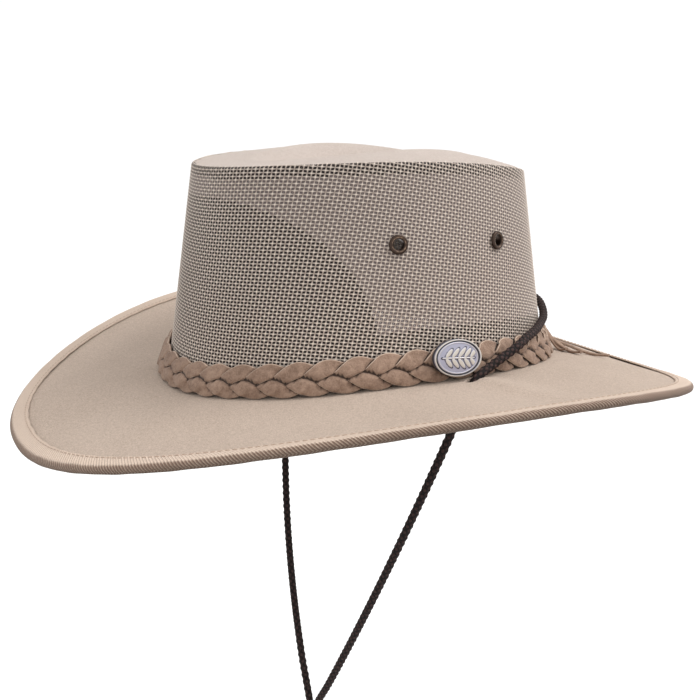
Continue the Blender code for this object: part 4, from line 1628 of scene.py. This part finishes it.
@dataclass
class CrownLinings:
    """Sweatband and front panel behind the net, black outside and pale towards the head."""

    sweatband_rise: float = 0.0226
    panel_half_angle: float = math.radians(71.0)
    panel_end_angle: float = math.radians(70.0)
    panel_top_share: float = 0.875
    panel_roundness: float = 2.5
    panel_foot: float = 0.0015

    def walls(
        self, name: str, angle: np.ndarray, low: np.ndarray, high: np.ndarray, off: float, wall: float
    ) -> bpy.types.Object:
        """A thin wall on the crown's cone, between two edges, with rounded edges.

        Args:
            name: Name of the piece.
            angle: Angles along it.
            low: Share of the wall's height at its lower edge.
            high: The same at its upper edge.
            off: Offset of its outer face.
            wall: Its thickness.

        Returns:
            The piece.
        """
        ring = name == "sweatband"
        levels = np.concatenate([np.linspace(0.0, 1.0, 15), np.linspace(1.0, 0.0, 15)])
        depths = np.concatenate([np.zeros(15), np.ones(15)])
        for edge, share in ((0, 0.35), (14, 0.35), (15, 0.65), (29, 0.65)):
            depths[edge] = share
        shares = mix(low[:, None], high[:, None], levels[None, :])
        points = FORM.wall(angle[:, None], shares, off - wall * depths)
        faces = np.broadcast_to((depths > 0.5).astype(float), points.shape[:2])
        along = closed_length(points[:, 0])
        height = closed_length(points[0])
        shell = Shell(f"{name}_cloth")
        shell.grid(
            points,
            wrap_rows=ring,
            wrap_columns=True,
            along=along,
            across=height,
            relief=faces,
            caps=not ring,
        )
        return shell.build(self.material, "lining", name, sharp=80.0)

    def build(self) -> list[bpy.types.Object]:
        """Makes both pieces."""
        self.material = LiningCloth("lining_cloth").make()
        angle = round_angles(180)
        tall = FORM.wall_height(angle)
        low, high = -FORM.brim_thickness / tall, self.sweatband_rise / tall
        band = self.walls("sweatband", angle, low, high, FORM.layer(1), FORM.sweatband_wall)
        turns = np.linspace(-self.panel_end_angle, self.panel_end_angle, 97)
        angle = turns - math.pi / 2.0
        falls = np.abs(turns / self.panel_half_angle) ** self.panel_roundness
        high = self.panel_top_share * (1.0 - falls) ** (1.0 / self.panel_roundness)
        low = self.panel_foot / FORM.wall_height(angle)
        panel = self.walls("front_panel", angle, low, high, FORM.layer(0), FORM.panel_wall)
        return [band, panel]


# Brim


@dataclass
class Brim:
    """Canvas brim with two cord holes, its rolled tape and the stitches along it."""

    steps: int = 320
    rows: int = 34
    hole_half: Sequence[float] = (0.0029, 0.0042)
    hole_place: Sequence[float] = (0.0954, 0.0058)
    hole_span: Sequence[float] = (-0.01, 0.02)
    ripple: float = 0.00045
    crease: float = 0.0027
    crease_length: float = 0.060
    crease_turn: float = math.radians(19.0)
    crease_near: float = 0.0040
    crease_far: float = 0.0110
    tape_face: float = 0.006
    tape_waver: float = 0.00018
    stitch_pitch: float = 0.0030
    stitch_inset: float = 0.0014
    stitch_size: Sequence[float] = (0.0011, 0.00027, 0.00024)
    stitch_lift: float = 0.00004
    nose_row: int = 14
    turn_row: int = 16

    def waves(self, angle: np.ndarray, share: np.ndarray, plan: np.ndarray) -> np.ndarray:
        """Small uneven heights of the cloth: long sines, and a crease away from each cord hole."""
        lift = np.sin(7.0 * angle + 2.0) + 0.7 * np.sin(11.0 * angle + 4.0 * share) - 0.5
        height = self.ripple * lift * 4.0 * share * (1.0 - share)
        for side in Side:
            x = plan[..., 0] * side.value - self.hole_place[0]
            y = plan[..., 1] - self.hole_place[1]
            turn = self.crease_turn
            along = x * math.cos(turn) + y * math.sin(turn)
            aside = y * math.cos(turn) - x * math.sin(turn)
            fade = smooth(-0.002, 0.006, along) * smooth(self.crease_length, 0.012, along)
            width = np.where(aside < 0.0, self.crease_near, self.crease_far)
            ridge = np.exp(-((aside / width) ** 2))
            height += self.crease * fade * ridge
        return height

    def make_cloth(self) -> bpy.types.Object:
        """Top and under side of the brim as one ring, then the cord holes."""
        angle = round_angles(self.steps)[:, None]
        slot_end = FORM.binding_thickness / 2.0 - FORM.binding_lip / 2.0
        edge = 1.0 - slot_end / FORM.brim_reach(angle)
        share = edge * np.linspace(0.0, 1.0, self.rows)[None, :]
        plan = FORM.brim(angle, share, 0.0)[..., :2]
        lift = self.waves(angle, share, plan)
        half = FORM.brim_thickness / 2.0
        top = FORM.brim(angle, share, half + lift)
        under = FORM.brim(angle, share, lift - half)
        shell = Shell("brim_canvas")
        shell.grid(np.concatenate([top, under[:, ::-1]], 1), wrap_rows=True, wrap_columns=True)
        cloth = shell.build(Canvas("brim_canvas").make(), "canvas", "brim")
        x, y = self.hole_place
        bored(cloth, [post(side.value * x, y, self.hole_half, *self.hole_span) for side in Side])
        return cloth

    def tape_section(self) -> np.ndarray:
        """Section of the rolled tape: distance in from the rim, and height, round a nose and a slot."""
        half = FORM.binding_thickness / 2.0
        slot = FORM.brim_thickness / 2.0 + FORM.gap
        lip = slot + FORM.binding_lip
        turn = np.radians(np.linspace(90.0, -90.0, 17))
        nose = np.stack([half - half * np.cos(turn), half * np.sin(turn)], -1)
        upper = [
            (FORM.binding_width, slot),
            (FORM.binding_width + 0.0001, mix(slot, lip, 0.5)),
            (FORM.binding_width - 0.0003, lip - 0.0001),
            (FORM.binding_width - 0.0010, lip),
            (FORM.binding_width - 0.0016, lip - 0.00012),
            (mix(FORM.binding_width, half, 0.5), mix(lip, half, 0.6)),
        ]
        end = FORM.binding_thickness / 2.0 - FORM.binding_lip / 2.0 - FORM.gap
        lower = [(x, -z) for x, z in upper[::-1]]
        return np.array([*upper, *nose, *lower, (end, -slot), (end, slot)])

    def make_tape(self) -> bpy.types.Object:
        """Carries the section round the rim."""
        section = self.tape_section()
        face = section[:, 0] < self.tape_face
        angle = round_angles(480)[:, None]
        inward = section[None, :, 0] + self.tape_waver * np.sin(83.0 * angle) * ~face
        share = 1.0 - inward / FORM.brim_reach(angle)
        puff = 1.0 + 0.03 * np.sin(37.0 * angle) + 0.02 * np.sin(71.0 * angle + 1.0)
        rise = section[None, :, 1] * np.where(face, puff, 1.0)
        points = FORM.brim(angle, share, rise)
        along = closed_length(points[:, self.nose_row])
        across = closed_length(section)
        across -= across[self.turn_row]
        shell = Shell("brim_binding_tape")
        shell.grid(points, wrap_rows=True, wrap_columns=True, along=along, across=across)
        return shell.build(RibbedTape("binding_tape").make(), "tape", "brim_binding")

    def make_stitches(self) -> bpy.types.Object:
        """Short threads along the tape's lip, above and below the brim: small ellipsoids."""
        fine = np.linspace(0.0, TURN, 4000)
        inward = FORM.binding_width - self.stitch_inset
        share = 1.0 - inward / FORM.brim_reach(fine)
        lip = FORM.brim_thickness / 2.0 + FORM.gap + FORM.binding_lip
        rings, sides = 4, 6
        tilt = np.linspace(-math.pi / 2.0, math.pi / 2.0, rings + 2)[1:-1]
        ends, rounds = np.meshgrid(np.sin(tilt), round_angles(sides), indexing="ij")
        girth = np.sqrt(1.0 - ends**2)
        ball = np.stack([ends, girth * np.cos(rounds), girth * np.sin(rounds)], -1)
        poles = np.array([(-1.0, 0.0, 0.0), (1.0, 0.0, 0.0)])
        local = np.vstack([ball.reshape(-1, 3), poles]) * self.stitch_size
        i, j = np.meshgrid(np.arange(rings - 1), np.arange(sides), indexing="ij")
        after = (j + 1) % sides
        quads = [i * sides + j, (i + 1) * sides + j, (i + 1) * sides + after, i * sides + after]
        quads = np.stack(quads, -1).reshape(-1, 4)
        ring, last = np.arange(sides), (rings - 1) * sides
        following, pole = np.roll(ring, -1), rings * sides
        caps = [
            np.stack([ring, following, np.full(sides, pole)], -1),
            np.stack([last + following, last + ring, np.full(sides, pole + 1)], -1),
        ]
        shell = Shell("brim_stitches")
        for height in (lip + self.stitch_lift, -lip - self.stitch_lift):
            line = FORM.brim(fine, share, height)
            count = int(running_length(line)[-1] / self.stitch_pitch)
            middle = even_points(line, running_length(line)[-1] / count)[:-1]
            ahead = unit(np.roll(middle, -1, 0) - np.roll(middle, 1, 0))
            aside = unit(np.cross(ahead, (0.0, 0.0, 1.0)))
            up = np.cross(aside, ahead)
            turns = np.stack([ahead, aside, up], 1)
            points = np.einsum("kj,njc->nkc", local, turns) + middle[:, None]
            base = (np.arange(count) * len(local))[:, None, None]
            first = shell.count
            shell.add(points.reshape(-1, 3), (quads + base).reshape(-1, 4))
            for cap in caps:
                shell.add(np.empty((0, 3)), (cap + base).reshape(-1, 3) + first - shell.count)
        return shell.build(Thread("stitch_thread").make(), "tape")

    def build(self) -> list[bpy.types.Object]:
        """Makes the cloth, the tape and the stitches."""
        return [self.make_cloth(), self.make_tape(), self.make_stitches()]


# Band


@dataclass
class BraidedBand:
    """Flat plait of three suede strips round the crown, with 45 turns at each edge."""

    periods: int = 15
    swing: float = 0.0041
    half_width: float = 0.0031
    width_wave: float = 0.12
    skew: float = 0.20
    strip: float = 0.0013
    layer: float = 0.0024
    middle_off: float = 0.0027
    middle_rise: float = 0.0070
    bend: float = 0.0011
    lean: float = 0.0010
    crown: float = 0.00025
    steps_a_period: int = 48
    section_points: int = 26
    slope_step: float = 1e-4

    def phase(self, number: int, turn: np.ndarray) -> np.ndarray:
        """Phase of a strip at a turn round the crown."""
        return self.periods * turn + TURN / 3.0 * number

    def path(self, number: int, turn: np.ndarray) -> np.ndarray:
        """Height of a strip's middle: a sine whose rising parts are steeper than its falling ones."""
        phase = self.phase(number, turn)
        return self.swing * np.sin(phase + self.skew * np.sin(phase))

    def climb(self, number: int, turn: np.ndarray) -> np.ndarray:
        """How fast a strip's middle rises, in metres to the radian."""
        step = self.slope_step
        return (self.path(number, turn + step) - self.path(number, turn - step)) / (2.0 * step)

    def reach(self, number: int, turn: np.ndarray) -> np.ndarray:
        """Half width of a strip, which is widest where it lies on top."""
        return self.half_width * (1.0 + self.width_wave * np.sin(2.0 * self.phase(number, turn)))

    def cover(self, number: int, turn: np.ndarray, height: np.ndarray, girth: float) -> np.ndarray:
        """How far a strip covers a point: 1 inside its edges, falling to 0 over the bend."""
        slope = self.climb(number, turn) * TURN / girth
        away = np.abs(height - self.path(number, turn)) / np.hypot(1.0, slope)
        return 1.0 - smooth(0.0, self.bend, away - self.reach(number, turn))

    def build(self) -> list[bpy.types.Object]:
        """Makes the three strips; each lies over the next one and under the one before."""
        fine = np.linspace(0.0, TURN, 4001)
        outline = FORM.wall(fine, self.middle_rise / FORM.wall_height(fine), self.middle_off)
        arc = running_length(outline[:, :2])
        girth = float(arc[-1])
        material = Suede("suede").make()
        pieces = []
        for number in range(3):
            turn = round_angles(self.periods * self.steps_a_period)
            height = self.path(number, turn)
            slope = np.arctan2(self.climb(number, turn), girth / TURN)
            section = ribbon_section(self.reach(number, turn), self.strip, self.section_points)
            sideways = section[..., 0]
            flat = sideways / self.reach(number, turn)[:, None]
            s = girth * turn[:, None] / TURN - sideways * np.sin(slope)[:, None]
            y = height[:, None] + sideways * np.cos(slope)[:, None]
            at = s * TURN / girth
            over = self.cover((number + 1) % 3, at, y, girth)
            under = self.cover((number - 1) % 3, at, y, girth)
            lift = self.layer / 2.0 * (over - under) + self.crown * (1.0 - flat**2)
            off = self.middle_off + lift + section[..., 1] - self.lean * y / self.swing
            angle = np.interp(s % girth, arc, fine)
            points = FORM.wall(angle, (self.middle_rise + y) / FORM.wall_height(angle), off)
            # Painted shadow under the strip that lies over this one and just past its edge, and a
            # painted highlight along this strip's outer edges.
            covered_shadow = smooth(0.85, 1.0, under)
            edge = smooth(0.88, 0.98, np.abs(flat)) * (section[..., 1] > 0.0) - 1.3 * covered_shadow
            along = girth * np.append(turn, TURN) / TURN
            shell = Shell(f"hat_band_strip_{number + 1}")
            shell.grid(points, wrap_rows=True, wrap_columns=True, along=along, relief=edge)
            pieces.append(shell.build(material, "suede", "hat_band", sharp=70.0))
        return pieces


@dataclass
class BandTails:
    """Wrap at the braid's ends and the three strips that hang out of it."""

    angle: float = math.radians(72.0)
    wrap_width: float = 0.0100
    wrap_thickness: float = 0.0016
    wrap_off: float = 0.0011
    groove: float = 0.00035
    # Wrap's section: height on the wall and distance out of its mean face.
    wrap_section: Sequence[Sequence[float]] = (
        (0.0012, -0.0006),
        (0.0020, 0.0002),
        (0.0045, 0.0008),
        (0.0070, 0.0010),
        (0.0095, 0.0008),
        (0.0122, 0.0002),
        (0.0131, -0.0006),
    )
    strip_off: float = 0.0018
    strip_spacing: float = 0.0008
    strip_wave: float = 0.0009
    width: float = 0.0026
    thickness: float = 0.0013
    # Each strip's tip: its place, its lift there and how high it starts, as a share.
    tips: Sequence[Sequence[float]] = (
        (0.0473, 0.1010, 0.0004, 0.85),
        (0.0560, 0.1035, 0.0003, 0.45),
        (0.0630, 0.1165, 0.0003, 0.10),
    )

    def make_wrap(self, shell: Shell) -> None:
        """Strip wound over the braid: a section carried up the wall and over both edges."""
        off = FORM.band_thickness + self.wrap_off
        half = self.wrap_width / 2.0 / FORM.foot_half_width
        rise, out = np.array(self.wrap_section).T
        turns = np.linspace(-1.0, 1.0, 11)
        angles, rises = np.meshgrid(self.angle + half * turns, rise, indexing="ij")
        groove = self.groove * np.cos(TURN * 1.5 * turns)[:, None]
        share = rises / FORM.wall_height(angles)
        top = FORM.wall(angles, share, off + out + groove)
        under = FORM.wall(angles, share, off + out - self.wrap_thickness)
        points = np.concatenate([top, under[:, ::-1]], 1)
        # Relief 1 on the wrap's side edges gives them a painted highlight.
        edge = np.broadcast_to((np.abs(turns) > 0.9).astype(float)[:, None], points.shape[:2])
        shell.grid(points, wrap_columns=True, relief=edge, caps=True)

    def make_strip(self, shell: Shell, tip: Sequence[float]) -> None:
        """A flat strip from the wrap down to the brim: a smooth curve with a ribbon on it.

        Args:
            shell: Mesh that takes it.
            tip: Place of its tip, its lift there and how high it starts, as a share.
        """
        tip_x, tip_y, lift, start_share = tip
        off = FORM.band_thickness + self.strip_off
        at = np.array(self.angle)
        rise = FORM.band_height * (0.25 + 0.5 * start_share)
        start = FORM.wall(at, rise / FORM.wall_height(at), off)
        aim = np.array([tip_x, tip_y]) - start[:2]
        route = []
        for share in (0.0, 0.2, 0.45, 0.75, 1.0):
            plan = start[:2] + aim * share
            rest = FORM.brim_top_at(*plan) + FORM.gap + self.thickness / 2.0 + lift * share
            height = mix(start[2] + self.thickness / 2.0, rest, min(1.0, 1.6 * share))
            route.append((*plan, height))
        line = even_points(smooth_curve(route), self.strip_spacing)
        share = np.linspace(0.0, 1.0, len(line))
        line[:, 2] += self.strip_wave * np.sin(share * 7.0) * share
        aside = np.array([-aim[1], aim[0], 0.0])
        section = ribbon_section(self.width / 2.0 * (1.0 - 0.15 * share), self.thickness, 16)
        # Painted highlight along the strip's edges.
        edge = smooth(0.80, 0.97, np.abs(section[..., 0]) / (self.width / 2.0)) * 0.8
        points = swept(line, np.broadcast_to(aside, line.shape), section)
        shell.grid(points, wrap_columns=True, relief=edge, caps=True)

    def build(self) -> list[bpy.types.Object]:
        """Makes the wrap and the strips as one piece."""
        shell = Shell("band_tails_suede")
        self.make_wrap(shell)
        for tip in self.tips:
            self.make_strip(shell, tip)
        return [shell.build(Suede("tail_suede").make(), "suede", "band_tails", sharp=70.0)]


@dataclass
class Concho:
    """Oval medallion: a round rim, a dark groove, and a sprig of leaves over a plain field."""

    length: float = 0.0245
    height: float = 0.0164
    thickness: float = 0.0026
    angle: float = math.radians(-0.8)
    rise: float = 0.0101
    roll: float = math.radians(-5.0)
    off: float = 0.00605
    relief_depth: float = 0.00055
    dome: float = 0.0004
    beads: int = 72
    leaf_pairs: int = 5
    leaf_start: float = -0.50
    leaf_spacing: float = 0.24
    leaf_turn: float = 0.85
    leaf_length: float = 0.42
    leaf_half_width: float = 0.070
    stem_half_width: float = 0.028
    steps: int = 144
    rings: int = 64

    def sprig(self, x: np.ndarray, y: np.ndarray) -> np.ndarray:
        """Leaves in pairs along a stem: each is 1 inside an ellipse and falls to 0 at its edge."""
        leaves = np.exp(-((y / self.stem_half_width) ** 2)) * smooth(0.70, 0.60, np.abs(x))
        for k in range(self.leaf_pairs):
            half = (self.leaf_length - 0.03 * abs(k - self.leaf_pairs // 2)) / 2.0
            for sign in (1.0, -1.0):
                dx, dy = x - (self.leaf_start + self.leaf_spacing * k), y - sign * 0.02
                cos, sin = math.cos(self.leaf_turn), sign * math.sin(self.leaf_turn)
                along, aside = dx * cos + dy * sin, dy * cos - dx * sin
                blade = ((along - half) / half) ** 2 + (aside / self.leaf_half_width) ** 2
                leaves = np.maximum(leaves, smooth(1.9, 0.5, blade))
        return leaves

    def build(self) -> list[bpy.types.Object]:
        """Makes the medallion: a polar grid on its face, then a round edge and a flat back."""
        turn = round_angles(self.steps)[:, None]
        radius = np.linspace(0.02, 1.0, self.rings)[None, :]
        x, y = radius * np.cos(turn), radius * np.sin(turn)
        rim = smooth(0.93, 0.95, radius) * smooth(1.04, 0.99, radius)
        groove = smooth(0.86, 0.89, radius) * smooth(0.955, 0.93, radius)
        beads = 0.5 + 0.5 * np.cos(self.beads * turn)
        ring = smooth(0.80, 0.815, radius) * smooth(0.86, 0.845, radius) * (0.45 + 0.55 * beads)
        sprig = self.sprig(x * 0.92, y * self.height / self.length * 0.92)
        inside = smooth(0.79, 0.75, radius)
        ground = 1.0 - smooth(0.0, 0.12, sprig) * smooth(0.95, 0.5, sprig) * inside
        tops = np.maximum(rim, np.maximum(ring * 0.8, sprig * inside))
        level = 0.40 + 0.60 * tops - 0.40 * groove
        raised = np.maximum(rim, sprig * inside)
        relief = np.clip((0.5 * ground + 0.5 * raised) * (1.0 - groove), 0.0, 1.0)
        relief = relief + ring * 0.3 + 0.0 * x
        face = self.thickness - self.relief_depth * (1.0 - level) + 0.0 * x
        dome = self.dome * (1.0 - radius**2)
        half = (self.length / 2.0, self.height / 2.0)
        top = np.stack([half[0] * x, half[1] * y, face + dome], -1)
        edge = [
            np.stack([half[0] * x[:, -1] * grow, half[1] * y[:, -1] * grow, level + 0.0 * x[:, -1]], -1)
            for grow, level in ((1.012, 0.0019), (1.016, 0.0011), (1.010, 0.0003), (0.985, 0.0))
        ]
        points = np.concatenate([top, np.stack(edge, 1)], 1)
        relief = np.concatenate([relief, np.full((self.steps, 4), 0.2)], 1)
        at = np.array(self.angle)
        share = float(self.rise / FORM.wall_height(at))
        place = FORM.wall_frame(self.angle, share, self.off - 0.0001)
        cos, sin = math.cos(self.roll), math.sin(self.roll)
        spin = np.array([(cos, -sin, 0.0), (sin, cos, 0.0), (0.0, 0.0, 1.0)])
        points = points @ (place[:3, :3] @ spin).T + place[:3, 3]
        shell = Shell("concho_medallion")
        shell.grid(points.swapaxes(0, 1), wrap_columns=True, relief=relief.T, caps=True)
        return [shell.build(OldSilver("old_silver").make(), "silver", "concho", sharp=60.0)]


TIP = CrownTip()
LININGS = CrownLinings()


def main() -> None:
    """Builds the studio and every part of the hat."""
    logging.basicConfig(level=logging.INFO, format="%(name)s: %(message)s")
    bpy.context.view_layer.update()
    Studio().build()
    bronze = Bronze("bronze").make()
    makers = (
        ChinCord().build,
        CrownNet().build,
        TIP.build,
        LININGS.build,
        Brim().build,
        BraidedBand().build,
        BandTails().build,
        Concho().build,
        lambda: [eyelet.build(bronze) for eyelet in EYELETS],
    )
    total = 0
    for maker in makers:
        for piece in maker():
            count = sum(len(face.vertices) - 2 for face in piece.data.polygons)
            total += count
            LOG.info("%s: %d triangles", piece.name, count)
    LOG.info("in all: %d triangles", total)


if __name__ == "__main__":
    main()
